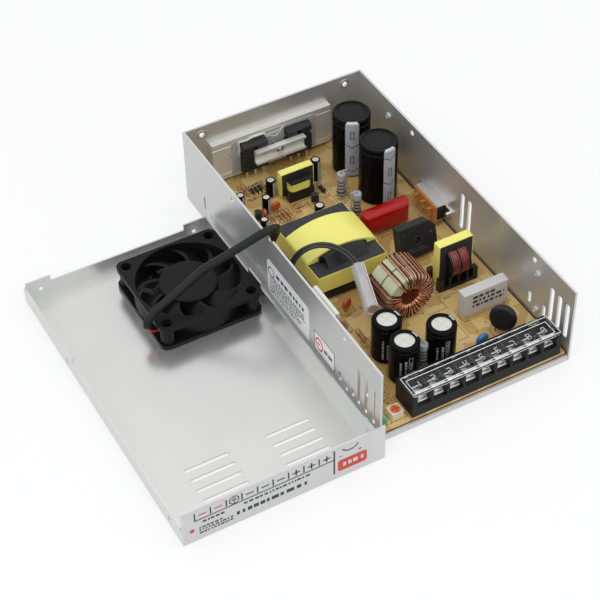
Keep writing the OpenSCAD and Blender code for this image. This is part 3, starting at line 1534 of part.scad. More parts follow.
// Impeller: a cup with a centre boss for the shaft, and curved pitched blades
module fan_impeller() {
  cup_z = fan_seat_h + cup_gap;
  color([0.12, 0.12, 0.13]) translate([fan_x, fan_y, fan_z]) difference() {
    union() {
      difference() {
        hub_cup(cup_z);
        translate([0, 0, cup_z - cut]) cylinder(r = hub_r - hub_wall, h = hub_top - hub_wall - cup_z + cut);
      }
      translate([0, 0, hub_top - hub_wall - shaft_boss_h])
        cylinder(r = shaft_boss_r, h = shaft_boss_h + hub_wall / 2);
      for (i = [0:blades - 1]) rotate([0, 0, i * 360 / blades + blade_start]) blade(cup_z + 0.4, hub_top - 1.2);
    }
    translate([0, 0, -cut]) cylinder(r = shaft_r, h = hub_top - hub_wall / 2 + cut);
  }
}

module hub_cup(z0) {
  edge = 0.8;
  translate([0, 0, z0]) rotate_extrude() {
    square([hub_r, hub_top - z0 - edge]);
    square([hub_r - edge, hub_top - z0]);
    translate([hub_r - edge, hub_top - z0 - edge]) circle(edge);
  }
}

// One blade: a slice of a tilted thin-walled tube between the hub and the tip circle, rising anticlockwise
module blade(z0, z1) {
  tip_r = fan_bore_r - tip_gap;
  span = 3 * blade_tube_r;
  intersection() {
    difference() {
      translate([0, 0, z0]) cylinder(r = tip_r, h = z1 - z0, $fn = 96);
      translate([0, 0, z0 - cut]) cylinder(r = hub_r - hub_wall / 2, h = z1 - z0 + 2 * cut, $fn = 96);
      translate([-2 * tip_r, -2 * tip_r, z0 - cut])
        cube([2 * tip_r + hub_r / 3, 4 * tip_r, z1 - z0 + 2 * cut]);
    }
    translate([hub_r + blade_in, blade_tube_r - blade_in, (z0 + z1) / 2]) rotate([-blade_pitch, 0, 0])
      difference() {
      cylinder(r = blade_tube_r, h = span, center = true, $fn = 96);
      cylinder(r = blade_tube_r - blade_t, h = span + 2 * cut, center = true, $fn = 96);
      translate([-span, 0, -span]) cube([2 * span, span, 2 * span]);
    }
  }
}

module fan_wires() {
  color([0.65, 0.08, 0.07]) translate([fan_x, fan_y, fan_z]) cord(wires_at_fan, wire_pair_d, 8);
}

module fan_cord() {
  color([0.07, 0.07, 0.08]) cord(fan_route, cord_d, 10);
}

chassis();
insulation_sheet();
circuit_board();
board_spacers();
board_screws();
machine_screws();
rear_heatsink();
rear_insulator_pad();
switching_transistors();
transistor_clip();
rectifier_diodes();
rectifier_clamp();
bulk_capacitors();
output_capacitors();
main_transformer_core();
main_transformer_bobbin();
main_transformer_winding();
driver_transformer_core();
driver_transformer_bobbin();
driver_transformer_winding();
choke_core();
choke_bobbin();
choke_windings();
core_tapes();
toroid_cores();
toroid_winding();
film_capacitor();
suppression_capacitor();
bridge_rectifier();
inrush_thermistor();
selector_can();
selector_body();
selector_board();
selector_slider();
power_resistors();
small_capacitors();
axial_parts();
disc_capacitors();
small_transistors();
thermal_switch();
thermal_sleeve();
thermal_lead_a();
thermal_lead_b();
terminal_body();
terminal_plates();
terminal_screws();
terminal_cover();
trimmer_base();
trimmer_rotor();
indicator_light();
fan_connector();
top_cover();
fan_frame();
fan_impeller();
fan_shaft();
fan_motor();
fan_screws();
fan_wires();
fan_cord();
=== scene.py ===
"""Looks of the opened switching power supply: camera, cords, light, finishes, coils and prints."""

import math
import random

import bpy
from mathutils import Matrix, Vector


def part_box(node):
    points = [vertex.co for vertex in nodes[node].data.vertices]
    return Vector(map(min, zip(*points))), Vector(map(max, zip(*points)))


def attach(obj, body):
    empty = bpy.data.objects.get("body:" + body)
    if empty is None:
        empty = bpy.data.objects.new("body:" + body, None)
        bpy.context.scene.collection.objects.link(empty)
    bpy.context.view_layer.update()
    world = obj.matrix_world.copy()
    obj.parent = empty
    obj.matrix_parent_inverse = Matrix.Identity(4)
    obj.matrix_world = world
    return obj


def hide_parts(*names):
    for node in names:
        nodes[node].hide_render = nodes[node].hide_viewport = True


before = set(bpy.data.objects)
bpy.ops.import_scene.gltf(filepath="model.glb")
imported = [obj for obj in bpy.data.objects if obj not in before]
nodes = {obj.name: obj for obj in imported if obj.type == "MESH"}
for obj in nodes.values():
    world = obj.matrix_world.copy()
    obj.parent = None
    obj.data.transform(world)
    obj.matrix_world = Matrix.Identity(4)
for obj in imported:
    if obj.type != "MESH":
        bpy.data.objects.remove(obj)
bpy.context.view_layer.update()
scene = bpy.context.scene
MM, TO_MM = 0.001, 1000
X, Y, Z = Vector((1, 0, 0)), Vector((0, 1, 0)), Vector((0, 0, 1))
FLAT = 0.05  # the corners of one flat face lie within this
FACING = 0.9  # a face looks along an axis when its normal has more than this of it


def round_angles(sides):
    """Evenly spaced angles once round, in radians."""
    return [2 * math.pi * k / sides for k in range(sides)]


def box_of(points):
    """The lowest and highest corners of the box round some points."""
    return tuple(Vector([pick(c) for c in zip(*points)]) for pick in (min, max))


def box_mm(node):
    """A CAD node's lowest and highest corners, in millimetres."""
    lo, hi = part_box(node)
    return lo * TO_MM, hi * TO_MM


def outer_face(node, out):
    """How far a CAD node reaches in a direction, and its corners there, in millimetres."""
    spots = [v.co * TO_MM for v in nodes[node].data.vertices]
    reach = max(out.dot(q) for q in spots)
    return reach, [q for q in spots if out.dot(q) > reach - FLAT]


def solids(node):
    """The lowest and highest corners of each solid of a CAD node, in millimetres, from back to front."""
    mesh = nodes[node].data
    spots = [tuple(round(c * TO_MM, 3) for c in v.co) for v in mesh.vertices]
    leader = {s: s for s in spots}

    def first(s):
        while leader[s] != s:
            leader[s] = leader[leader[s]]
            s = leader[s]
        return s

    for edge in mesh.edges:
        leader[first(spots[edge.vertices[0]])] = first(spots[edge.vertices[1]])
    groups = {}
    for s in leader:
        groups.setdefault(first(s), []).append(s)
    return sorted(map(box_of, groups.values()), key=lambda b: (-b[0].y - b[1].y, b[0].x))


TOP = box_mm("circuit_board")[1].z
WALL = box_mm("chassis")[0].x
WALL_TOP = box_mm("chassis")[1].z
FAN_LO, FAN_HI = box_mm("fan_frame")
FAN = Vector(((FAN_LO.x + FAN_HI.x) / 2, (FAN_LO.y + FAN_HI.y) / 2, FAN_LO.z))
COVER_LO = box_mm("top_cover")[0]

# Camera at the photograph's place: the point it looks at, how far away and in which direction
CAM_AIM = Vector((-0.05175, -0.016016, 0.020))
CAM_DISTANCE = 0.922221
CAM_LENS = 105.33
CAM_SENSOR = 36
CAM_AZ, CAM_EL, CAM_ROLL = map(math.radians, (-28.231, 44.336, -1.288))


def new_object(name, data):
    o = bpy.data.objects.new(name, data)
    scene.collection.objects.link(o)
    return o


def make_camera():
    data = bpy.data.cameras.new("camera")
    data.lens, data.sensor_width = CAM_LENS, CAM_SENSOR
    cam = scene.camera = new_object("camera", data)
    level = math.cos(CAM_EL)
    back = Vector((math.sin(CAM_AZ) * level, -math.cos(CAM_AZ) * level, math.sin(CAM_EL)))
    right = Vector((math.cos(CAM_AZ), math.sin(CAM_AZ), 0))
    up = back.cross(right)
    side = math.cos(CAM_ROLL) * right + math.sin(CAM_ROLL) * up
    head = math.cos(CAM_ROLL) * up - math.sin(CAM_ROLL) * right
    turn = Matrix((side, head, back)).transposed()
    cam.matrix_world = Matrix.Translation(CAM_AIM + back * CAM_DISTANCE) @ turn.to_4x4()


make_camera()


# Finishes
MIX_FACTOR, MIX_A, MIX_B, MIX_RESULT = 0, 6, 7, 2  # the colour sockets of a mix node
CLOUD_DETAIL, GRAIN_DETAIL, GRAIN_DEPTH = 4.0, 3.0, 0.0004
LEAST_ROUGH = 0.02
PATCH_SCALE, PATCH_FROM, PATCH_FULL, PATCH_DEPTH = 105.0, 0.5, 0.56, 0.75
LOOKS = {}


def put(node, **values):
    """Sets a shader node's inputs by name."""
    for name, value in values.items():
        node.inputs[name.replace("_", " ")].default_value = value


def noise(tree, coord, scale, detail):
    """A soft noise that stays with the piece."""
    texture = tree.nodes.new("ShaderNodeTexNoise")
    put(texture, Scale=scale, Detail=detail)
    tree.links.new(coord.outputs["Object"], texture.inputs["Vector"])
    return texture.outputs["Fac"]


def mixed(tree, factor, low, high):
    """A colour that goes from low to high with a factor; low is a colour or a node's output."""
    mix = tree.nodes.new("ShaderNodeMix")
    mix.data_type = "RGBA"
    tree.links.new(factor, mix.inputs[MIX_FACTOR])
    if isinstance(low, bpy.types.NodeSocket):
        tree.links.new(low, mix.inputs[MIX_A])
    else:
        mix.inputs[MIX_A].default_value = [*low, 1]
    mix.inputs[MIX_B].default_value = [*high, 1]
    return mix.outputs[MIX_RESULT]


def look(key, color, rough=0.5, metal=0.0, vary=0.1, cloud=45.0, bump=0.0, grain=900.0,
         coat=0.0, clear=0.0, alpha=1.0, rough_vary=0.08, ior=1.5, gloss=0.5, on=""):
    """A principled finish with cloudy colour and roughness and a fine grain; the CAD nodes in on have it."""
    m = LOOKS[key] = bpy.data.materials.new(key)
    m.use_nodes = True
    tree = m.node_tree
    surface = tree.nodes["Principled BSDF"]
    put(surface, Metallic=metal, IOR=ior, Alpha=alpha, Coat_Weight=coat, Transmission_Weight=clear,
        Specular_IOR_Level=gloss)
    coord = tree.nodes.new("ShaderNodeTexCoord")
    clouds = noise(tree, coord, cloud, CLOUD_DETAIL)
    dark, pale = [c * (1 - vary) for c in color], [min(1, c * (1 + vary)) for c in color]
    tree.links.new(mixed(tree, clouds, dark, pale), surface.inputs["Base Color"])
    spread = tree.nodes.new("ShaderNodeMapRange")
    put(spread, To_Min=max(LEAST_ROUGH, rough - rough_vary), To_Max=min(1, rough + rough_vary))
    tree.links.new(clouds, spread.inputs["Value"])
    tree.links.new(spread.outputs["Result"], surface.inputs["Roughness"])
    if bump:
        lift = tree.nodes.new("ShaderNodeBump")
        put(lift, Strength=bump, Distance=GRAIN_DEPTH)
        tree.links.new(noise(tree, coord, grain, GRAIN_DETAIL), lift.inputs["Height"])
        tree.links.new(lift.outputs["Normal"], surface.inputs["Normal"])
    for node in on.split():
        mesh = nodes[node].data
        mesh.materials.clear()
        mesh.materials.append(m)
    return m


def laminate(key, color, dark, **values):
    """Board laminate: a tan sheet with squarish patches where copper on the far side shows through."""
    tree = look(key, color, **values).node_tree
    surface = tree.nodes["Principled BSDF"]
    plain = surface.inputs["Base Color"].links[0].from_socket
    coord = tree.nodes["Texture Coordinate"]
    cells = tree.nodes.new("ShaderNodeTexVoronoi")
    cells.distance = "CHEBYCHEV"
    put(cells, Scale=PATCH_SCALE)
    tree.links.new(coord.outputs["Object"], cells.inputs["Vector"])
    pick = tree.nodes.new("ShaderNodeSeparateColor")
    tree.links.new(cells.outputs["Color"], pick.inputs["Color"])
    step = tree.nodes.new("ShaderNodeMapRange")
    put(step, From_Min=PATCH_FROM, From_Max=PATCH_FULL, To_Max=PATCH_DEPTH)
    tree.links.new(pick.outputs["Red"], step.inputs["Value"])
    tree.links.new(mixed(tree, step.outputs["Result"], plain, dark), surface.inputs["Base Color"])


look("sheet", (0.66, 0.665, 0.655), 0.24, metal=0.75, vary=0.04, cloud=22, bump=0.03, grain=60,
     rough_vary=0.04, on="top_cover")
look("case", (0.62, 0.625, 0.62), 0.36, metal=0.7, vary=0.04, cloud=22, bump=0.02, grain=300,
     rough_vary=0.06, on="chassis")
look("film", (0.02, 0.02, 0.022), 0.45, bump=0.1, on="insulation_sheet")
laminate("board", (0.72, 0.51, 0.20), (0.50, 0.30, 0.085), rough=0.34, vary=0.16, cloud=70, bump=0.08,
         coat=0.15, on="circuit_board")
look("screw", (0.72, 0.71, 0.68), 0.3, metal=1.0, vary=0.08, cloud=300,
     on="board_screws machine_screws fan_screws terminal_plates selector_can fan_shaft")
look("alu", (0.76, 0.75, 0.70), 0.42, metal=0.5, vary=0.06, cloud=80, bump=0.12, grain=500,
     on="board_spacers rear_heatsink rectifier_clamp transistor_clip")
look("pad", (0.40, 0.40, 0.39), 0.75, bump=0.2, on="rear_insulator_pad")
look("paste", (0.72, 0.71, 0.66), 0.6, vary=0.12, cloud=300, bump=0.4, grain=700)
look("epoxy", (0.022, 0.022, 0.023), 0.5, vary=0.4, cloud=500, bump=0.2, grain=1500, gloss=0.3,
     on="switching_transistors rectifier_diodes bridge_rectifier small_transistors")
# Pale grey on black epoxy: the bridge's marks and print, and painted highlights along its edges.
look("worn", (0.085, 0.085, 0.086), 0.55, vary=0.3, cloud=400, bump=0.1)
look("sleeve", (0.003, 0.003, 0.0035), 0.2, bump=0.03, grain=200, gloss=0.07,
     on="bulk_capacitors output_capacitors small_capacitors")
look("can_lid", (0.014, 0.014, 0.015), 0.5, bump=0.1, grain=600, gloss=0.12)
look("ferrite", (0.026, 0.026, 0.03), 0.5, vary=0.2, cloud=300, bump=0.2, grain=2500, gloss=0.35,
     on="main_transformer_core driver_transformer_core choke_core")
look("black", (0.010, 0.010, 0.011), 0.4, bump=0.1, grain=1500, gloss=0.3,
     on="main_transformer_bobbin driver_transformer_bobbin choke_bobbin selector_body")
look("strip", (0.011, 0.011, 0.012), 0.42, bump=0.12, grain=1200, gloss=0.16, on="terminal_body")
look("tape", (0.92, 0.86, 0.19), 0.32, vary=0.05, cloud=90, bump=0.12, grain=160, coat=0.3,
     on="main_transformer_winding driver_transformer_winding core_tapes")
look("enamel", (0.74, 0.33, 0.19), 0.2, metal=0.85, vary=0.15, cloud=400, bump=0.03, grain=2000)
# A dark copy of the winding wire: painted shade for the toroid's deeper layer and the sides of its turns, and
# for the choke's winding body between its turns.
look("enamel_dark", (0.09, 0.016, 0.010), 0.35, metal=0.2, vary=0.25, cloud=400, bump=0.05, grain=2000,
     gloss=0.3, on="choke_windings toroid_winding")
look("enamel_red", (0.34, 0.085, 0.075), 0.2, metal=0.6, vary=0.2, cloud=400, bump=0.03, grain=2000)
look("toroid", (0.52, 0.55, 0.36), 0.45, vary=0.12, cloud=150, bump=0.2, on="toroid_cores")
look("red_dip", (0.37, 0.003, 0.004), 0.16, vary=0.12, cloud=120, bump=0.06, grain=250, coat=0.1,
     gloss=0.25, on="film_capacitor")
look("grey_case", (0.60, 0.58, 0.57), 0.45, vary=0.06, cloud=150, bump=0.1, on="suppression_capacitor")
look("disc_dark", (0.010, 0.011, 0.010), 0.42, bump=0.25, gloss=0.3, on="inrush_thermistor")
look("phenolic", (0.48, 0.19, 0.05), 0.5, vary=0.15, cloud=200, bump=0.1, on="selector_board")
look("red", (0.60, 0.03, 0.03), 0.35, bump=0.05, on="selector_slider")
look("grey_enamel", (0.39, 0.40, 0.41), 0.4, cloud=200, bump=0.12, on="power_resistors")
look("tan", (0.52, 0.30, 0.15), 0.4, vary=0.15, cloud=500, bump=0.1, on="axial_parts")
look("diode", (0.022, 0.02, 0.021), 0.35, bump=0.08)
look("orange_dip", (0.46, 0.075, 0.02), 0.35, vary=0.15, cloud=300, bump=0.15, coat=0.3,
     on="disc_capacitors")
look("blue_dip", (0.02, 0.16, 0.42), 0.35, vary=0.15, cloud=300, bump=0.15, coat=0.3)
look("clear", (0.96, 0.97, 0.98), 0.06, vary=0.01, clear=1.0, rough_vary=0.02, ior=1.3, on="terminal_cover")
# Pale lines for light caught on the edges of clear parts: painted highlight.
look("clear_edge", (0.86, 0.87, 0.88), 0.2, vary=0.04)
look("clear_sleeve", (0.74, 0.76, 0.79), 0.18, vary=0.04, alpha=0.36, bump=0.06, grain=300,
     on="thermal_sleeve")
look("switch", (0.55, 0.33, 0.28), 0.35, metal=0.7, on="thermal_switch")
look("wire_black", (0.018, 0.018, 0.02), 0.42, bump=0.12, grain=700,
     on="thermal_lead_a thermal_lead_b fan_cord fan_wires")
look("cord_grey", (0.014, 0.0145, 0.0145), 0.5, vary=0.15, bump=0.12, grain=700, gloss=0.2)
look("wire_red", (0.52, 0.02, 0.02), 0.4, bump=0.05)
look("cream", (0.80, 0.72, 0.54), 0.45, bump=0.05, on="trimmer_base")
look("orange", (0.75, 0.16, 0.05), 0.4, bump=0.05, on="trimmer_rotor")
look("light", (0.20, 0.68, 0.32), 0.15, clear=0.4, on="indicator_light")
look("nylon", (0.78, 0.76, 0.70), 0.5, bump=0.08, on="fan_connector")
look("fan", (0.008, 0.008, 0.009), 0.38, vary=0.15, bump=0.08, grain=1200, gloss=0.13,
     on="fan_frame fan_impeller")
look("stator", (0.45, 0.2, 0.1), 0.4, metal=0.6, vary=0.2, cloud=900, on="fan_motor")
# A brighter copy of the terminal metal, on its screws and clamp lips: painted highlight.
look("plate", (0.86, 0.85, 0.82), 0.3, metal=0.6, vary=0.06, cloud=300, on="terminal_screws")
look("mouth", (0.60, 0.33, 0.29), 0.4, vary=0.12, cloud=300)
look("lid_metal", (0.64, 0.63, 0.59), 0.4, metal=0.8, vary=0.05, cloud=200, bump=0.04, grain=500)
# Darker lid metal for score lines: painted shade in the grooves.
look("score", (0.45, 0.44, 0.42), 0.5, metal=1.0, vary=0.06, cloud=200)
look("print_white", (0.80, 0.80, 0.78), 0.5, vary=0.04)
# Pale print, and on the large cans' round top edges a painted highlight.
look("print_pale", (0.56, 0.58, 0.63), 0.45, vary=0.06)
look("print_slate", (0.38, 0.41, 0.45), 0.4, vary=0.08, cloud=200)
look("print_grey", (0.33, 0.34, 0.35), 0.5, vary=0.08)
look("print_dark", (0.03, 0.03, 0.035), 0.5)
look("print_red", (0.70, 0.08, 0.05), 0.45, vary=0.06)
look("label", (0.80, 0.80, 0.79), 0.42, vary=0.03, cloud=60, coat=0.2)
look("label_white", (0.84, 0.85, 0.85), 0.4, vary=0.03, cloud=60, coat=0.2)
look("silk", (0.05, 0.032, 0.015), 0.5, vary=0.3, cloud=300)
look("solder", (0.70, 0.69, 0.66), 0.3, metal=1.0, cloud=600)
look("band_brown", (0.14, 0.05, 0.02), 0.4)
look("band_black", (0.02, 0.02, 0.02), 0.4)
look("band_red", (0.5, 0.03, 0.02), 0.4)
look("band_gold", (0.62, 0.42, 0.12), 0.35, metal=0.5)


def paint(node, key, chosen):
    """Gives a look to those of a CAD node's faces that chosen picks by their middle, in mm, and normal."""
    mesh = nodes[node].data
    index = len(mesh.materials)
    mesh.materials.append(LOOKS[key])
    for face in mesh.polygons:
        if chosen(face.center * TO_MM, face.normal):
            face.material_index = index


# Pieces built here
LAYER = 0.03  # the thickness of a print
CAN_EDGE = 0.12  # a can's round upper edge, as a share of its radius
OUTWARD = 0.5  # the sine from which a tube's faces count as its outward ones
BAR_FOOT, BAR_TALL, BAR_RAGGED = 0.2, 0.6, 0.35  # shares of a row of bars: foot and height, uneven end
BAR_LONG, BAR_APART = (0.3, 1.1), (0.2, 0.45)


class Batch:
    """Collects simple solids, in millimetres, into one piece with several finishes."""

    def __init__(self, name, body="supply"):
        self.name, self.body = name, body
        self.verts, self.faces, self.keys, self.smooth = [], [], [], []

    def add(self, verts, faces, key, smooth=False):
        """Adds faces with one finish, or with a list of one finish for each."""
        n = len(self.verts)
        self.verts += [tuple(v) for v in verts]
        self.faces += [[i + n for i in f] for f in faces]
        self.keys += [key] * len(faces) if isinstance(key, str) else key
        self.smooth += [smooth] * len(faces)

    def tube(self, path, r, key, sides=8, closed=False, side=None, shaded_key=None):
        """Round tube along a path, its section starting at side; the last finish, if given, is painted shade
        for all but the outward faces.
        """
        p = [Vector(q) for q in path]
        n = len(p)
        rings = []
        for i in range(n):
            before = p[(i - 1) % n] if closed or i else p[0]
            after = p[(i + 1) % n] if closed or i < n - 1 else p[-1]
            t = (after - before).normalized()
            side = side or t.orthogonal()
            side = (side - side.dot(t) * t).normalized()
            other = t.cross(side)
            rings.append([p[i] + r * (math.cos(a) * side + math.sin(a) * other) for a in round_angles(sides)])
        faces, keys = [], []
        for i in range(n if closed else n - 1):
            j = (i + 1) % n
            for k in range(sides):
                m = (k + 1) % sides
                faces.append((i * sides + k, i * sides + m, j * sides + m, j * sides + k))
                outward = math.sin(2 * math.pi * (k + 0.5) / sides) > OUTWARD
                keys.append(key if outward or not shaded_key else shaded_key)
        self.add(sum(rings, []), faces, keys, True)
        if not closed:
            self.add(rings[0], [reversed(range(sides))], key)
            self.add(rings[-1], [range(sides)], key)

    def make(self):
        mesh = bpy.data.meshes.new(self.name)
        mesh.from_pydata([Vector(v) * MM for v in self.verts], [], self.faces)
        order = list(dict.fromkeys(self.keys))
        for key in order:
            mesh.materials.append(LOOKS[key])
        for face, key, smooth in zip(mesh.polygons, self.keys, self.smooth):
            face.material_index = order.index(key)
            face.use_smooth = smooth
        mesh.validate()
        o = new_object(self.name, mesh)
        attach(o, self.body)
        return o


def plane(corner, u, v):
    """Places on a flat face: u and v along it from a corner, lifted off it along u x v."""
    corner, u, v = Vector(corner), Vector(u), Vector(v)
    normal = u.cross(v)
    return lambda a, b, lift: corner + u * a + v * b + normal * lift


def can_side(lo, hi, facing):
    """Places on an upright can: u runs round it from the side it faces, v up it and over its round edge."""
    cx, cy, r, top = (lo.x + hi.x) / 2, (lo.y + hi.y) / 2, (hi.x - lo.x) / 2, hi.z
    edge = CAN_EDGE * r

    def place(u, v, lift):
        a = math.radians(facing) + u / r
        bend = (v - top + edge) / edge
        if bend <= 0:
            out, z = r + lift, v
        elif bend <= math.pi / 2:
            out, z = r - edge + (edge + lift) * math.cos(bend), top - edge + (edge + lift) * math.sin(bend)
        else:
            out, z = r - edge * (1 + bend - math.pi / 2), top + lift
        return Vector((cx + out * math.cos(a), cy + out * math.sin(a), z))

    return place


class Print:
    """Thin marks laid on a surface; place(u, v, lift) gives the point of each of their corners."""

    def __init__(self, batch, place, step=math.inf):
        self.batch, self.place, self.step = batch, place, step

    def shape(self, outline, key, layer=1):
        corners = [self.place(u, v, layer * LAYER) for u, v in outline]
        self.batch.add(corners, [range(len(corners))], key)

    def strip(self, a, b, c, d, key, layer=1):
        """A four-sided mark, cut into small pieces so that it follows a curved surface."""
        a, b, c, d = (Vector(q) for q in (a, b, c, d))
        nu = max(1, math.ceil((b - a).length / self.step))
        nv = max(1, math.ceil((d - a).length / self.step))
        verts = []
        for j in range(nv + 1):
            for i in range(nu + 1):
                s, t = i / nu, j / nv
                q = (a * (1 - s) + b * s) * (1 - t) + (d * (1 - s) + c * s) * t
                verts.append(self.place(q.x, q.y, layer * LAYER))
        row = nu + 1
        faces = [(j * row + i, j * row + i + 1, (j + 1) * row + i + 1, (j + 1) * row + i)
                 for j in range(nv) for i in range(nu)]
        self.batch.add(verts, faces, key, True)

    def rect(self, u0, v0, u1, v1, key, layer=1):
        self.strip((u0, v0), (u1, v0), (u1, v1), (u0, v1), key, layer)

    def line(self, points, width, key, layer=2):
        for a, b in zip(points, points[1:]):
            a, b = Vector(a), Vector(b)
            along = (b - a).normalized() * width / 2
            across = Vector((-along.y, along.x))
            a, b = a - along, b + along
            self.strip(a - across, b - across, b + across, a + across, key, layer)

    def frame(self, u0, v0, u1, v1, width, key, layer=2):
        self.line([(u0, v0), (u1, v0), (u1, v1), (u0, v1), (u0, v0)], width, key, layer)

    def rounded(self, u0, v0, u1, v1, corner, key, layer=1, sides=5):
        """A filled rectangle with round corners."""
        outline = []
        for q, (cu, cv) in enumerate(((u1, v1), (u0, v1), (u0, v0), (u1, v0))):
            cu += -corner if cu == u1 else corner
            cv += -corner if cv == v1 else corner
            for k in range(sides + 1):
                a = math.pi / 2 * (q + k / sides)
                outline.append((cu + corner * math.cos(a), cv + corner * math.sin(a)))
        self.shape(outline, key, layer)

    def disc(self, u, v, r, key, layer=1, sides=24, squash=1.0):
        turns = round_angles(sides)
        self.shape([(u + r * math.cos(a), v + squash * r * math.sin(a)) for a in turns], key, layer)

    def ring(self, u, v, r, width, key, layer=2, start=0, sweep=360, sides=32):
        turns = [math.radians(start + sweep * k / sides) for k in range(sides + 1)]
        self.line([(u + r * math.cos(a), v + r * math.sin(a)) for a in turns], width, key, layer)

    def bars(self, u0, v0, u1, v1, rows, key, seed, layer=2, upright=False):
        """Rows of short bars that stand in for small print."""
        rng = random.Random(seed)
        pitch = (v1 - v0) / rows
        for row in range(rows):
            low = v0 + pitch * (row + BAR_FOOT)
            u = u0
            end = u1 - (u1 - u0) * rng.uniform(0, BAR_RAGGED)
            while u < end:
                size = min(pitch * rng.uniform(*BAR_LONG), u1 - u)
                box = (u, low, u + size, low + pitch * BAR_TALL)
                self.rect(*((box[1], box[0], box[3], box[2]) if upright else box), key, layer)
                u += size + pitch * rng.uniform(*BAR_APART)


def through(points, steps=8):
    """Smooth points through a given route."""
    p = [Vector(q) for q in points]
    p = [2 * p[0] - p[1]] + p + [2 * p[-1] - p[-2]]
    out = []
    for a, b, c, d in zip(p, p[1:], p[2:], p[3:]):
        for s in range(steps):
            t = s / steps
            bend = (2 * a - 5 * b + 4 * c - d) * t * t + (3 * b - a - 3 * c + d) * t ** 3
            out.append(0.5 * (2 * b + (c - a) * t + bend))
    out.append(p[-2])
    return out


def shifted(points, by):
    return [Vector(p) + Vector(by) for p in points]


# Cords: the fan's cable over the wall, its two wires at the fan, and the two leads of the thermal switch
CORD_D, LEAD_D, STRAND_R = 4.6, 1.8, 0.7
WIRES_Y = -19.2
FAN_WIRES = [(-22.66, WIRES_Y, 7), (-26, WIRES_Y, 7), (-29, WIRES_Y, 7.2), (-31.4, WIRES_Y, 8.2),
             (-33, WIRES_Y, 10), (-33.6, WIRES_Y, 12.4)]
CORD_AT_FAN = [(-33.6, WIRES_Y, 12), (-33.2, WIRES_Y, 14.6), (-32.2, WIRES_Y, 16.8), (-30.4, WIRES_Y, 18.8),
               (-27.8, -18.8, 20.4), (-20.6, -17, 22), (-9.4, -15.4, 26), (2.6, -14.8, 32),
               (14.2, -18.6, 39.4)]
CORD_AT_WALL = [(-9.6, 10, -1), (-5.6, 8.8, 1.6), (-1.2, 8.2, 3.2), (3.2, 8.8, 2.8), (7, 10.8, 0.4),
                (9, 13.8, -3.6)]
CORD_AT_BOARD = [(0.2, -9.8, 34), (0.2, -7, 28.4), (0, -4.6, 22.8), (0, -2.6, 17.4), (0, -1, 12.4),
                 (0, 0, 8.5)]
PLUG_LO, PLUG_HI = box_mm("fan_connector")
PLUG = Vector(((PLUG_LO.x + PLUG_HI.x) / 2, (PLUG_LO.y + PLUG_HI.y) / 2, TOP))
LEAD_A = [(-20.2, -23.6, 21.4), (-19, -19.8, 21.4), (-18.2, -16.3, 21.8), (-18.3, -13.6, 23),
          (-19.3, -11, 24.8), (-21, -8.4, 26.6), (-23.2, -5.8, 28), (-26.2, -3.2, 29.2),
          (-30.4, -0.4, 29.6), (-35.3, 1.6, 28.8), (-39.8, 2.9, 26.4), (-43.1, 3.7, 22.6),
          (-45.2, 3.9, 17.6), (-46.4, 3.9, 11.6), (-46.8, 3.9, 5.6), (-46.8, 3.9, 0)]
LEAD_B = [(-18.2, -24.2, 21.4), (-17, -20.4, 21.4), (-16.2, -16.7, 21.8), (-16.3, -13.4, 23),
          (-17.5, -9.8, 24.8), (-19.3, -7, 26.6), (-21.6, -4.2, 28), (-25, -1.2, 29.2),
          (-29.6, 1.6, 29.6), (-34.7, 3.6, 28.8), (-39.4, 5.1, 26.4), (-42.9, 5.9, 22.6),
          (-45.2, 6.1, 17.6), (-46.4, 6.1, 11.6), (-46.8, 6.1, 5.6), (-46.8, 6.1, 0)]


def cable(name, route, diameter, key, node):
    """A cord as a curve along a route in millimetres; it stands for its CAD tube."""
    line = through(route)
    data = bpy.data.curves.new(name, "CURVE")
    data.dimensions = "3D"
    data.bevel_depth = diameter / 2 * MM
    data.bevel_resolution = 6
    data.use_fill_caps = True
    spline = data.splines.new("POLY")
    spline.points.add(len(line) - 1)
    for point, v in zip(spline.points, line):
        point.co = (*(v * MM), 1)
    data.materials.append(LOOKS[key])
    o = new_object(name, data)
    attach(o, "supply")
    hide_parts(node)


def cords():
    strands = Batch("fan_wire_strands")
    for key, side in (("wire_red", -1), ("wire_black", 1)):
        strands.tube(through(shifted(FAN_WIRES, FAN + Y * side * STRAND_R)), STRAND_R, key)
    wires = strands.make()
    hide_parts("fan_wires")
    route = shifted(CORD_AT_FAN, FAN)
    route += shifted(CORD_AT_WALL, (WALL, 0, WALL_TOP))
    route += shifted(CORD_AT_BOARD, PLUG)
    cable("fan_cord_run", route, CORD_D, "cord_grey", "fan_cord")
    cable("thermal_lead_run_a", shifted(LEAD_A, Z * TOP), LEAD_D, "wire_black", "thermal_lead_a")
    cable("thermal_lead_run_b", shifted(LEAD_B, Z * TOP), LEAD_D, "wire_black", "thermal_lead_b")


cords()


# Light, floor and world, in metres and watts
WORLD_LIGHT, WORLD_COLOR = 0.6, (0.97, 0.98, 1, 1)
WHITE = (1, 1, 1, 1)
STAGE_ROUGH = 0.8
FLOOR_AT, FLOOR_SIZE = (-0.05, 0, -0.0004), 6
FLOOR_COLOR, FLOOR_GLOW = (0.42, 0.42, 0.42), 0.55
SHADE_AT, SHADE_SIZE = (FAN.x * MM, FAN.y * MM, -0.0002), 0.058
SHADE_COLOR = (0.012, 0.012, 0.013)
LAMPS = {
    "top_box": dict(at=(-0.27, -0.20, 1.20), aim=(-0.05, 0, 0), size=2.4, power=9.2),
    "left_box": dict(at=(-0.95, -0.62, 0.75), aim=(-0.05, -0.02, 0.02), size=1.5, power=3.9),
    "right_box": dict(at=(0.75, -0.45, 0.70), aim=(0, 0, 0.02), size=1.2, power=1.6),
}


def lamp(name, at, aim, size, power):
    data = bpy.data.lights.new(name, "AREA")
    data.size, data.energy = size, power
    o = new_object(name, data)
    o.location = at
    o.rotation_mode = "QUATERNION"
    o.rotation_quaternion = (Vector(aim) - Vector(at)).to_track_quat("-Z", "Y")


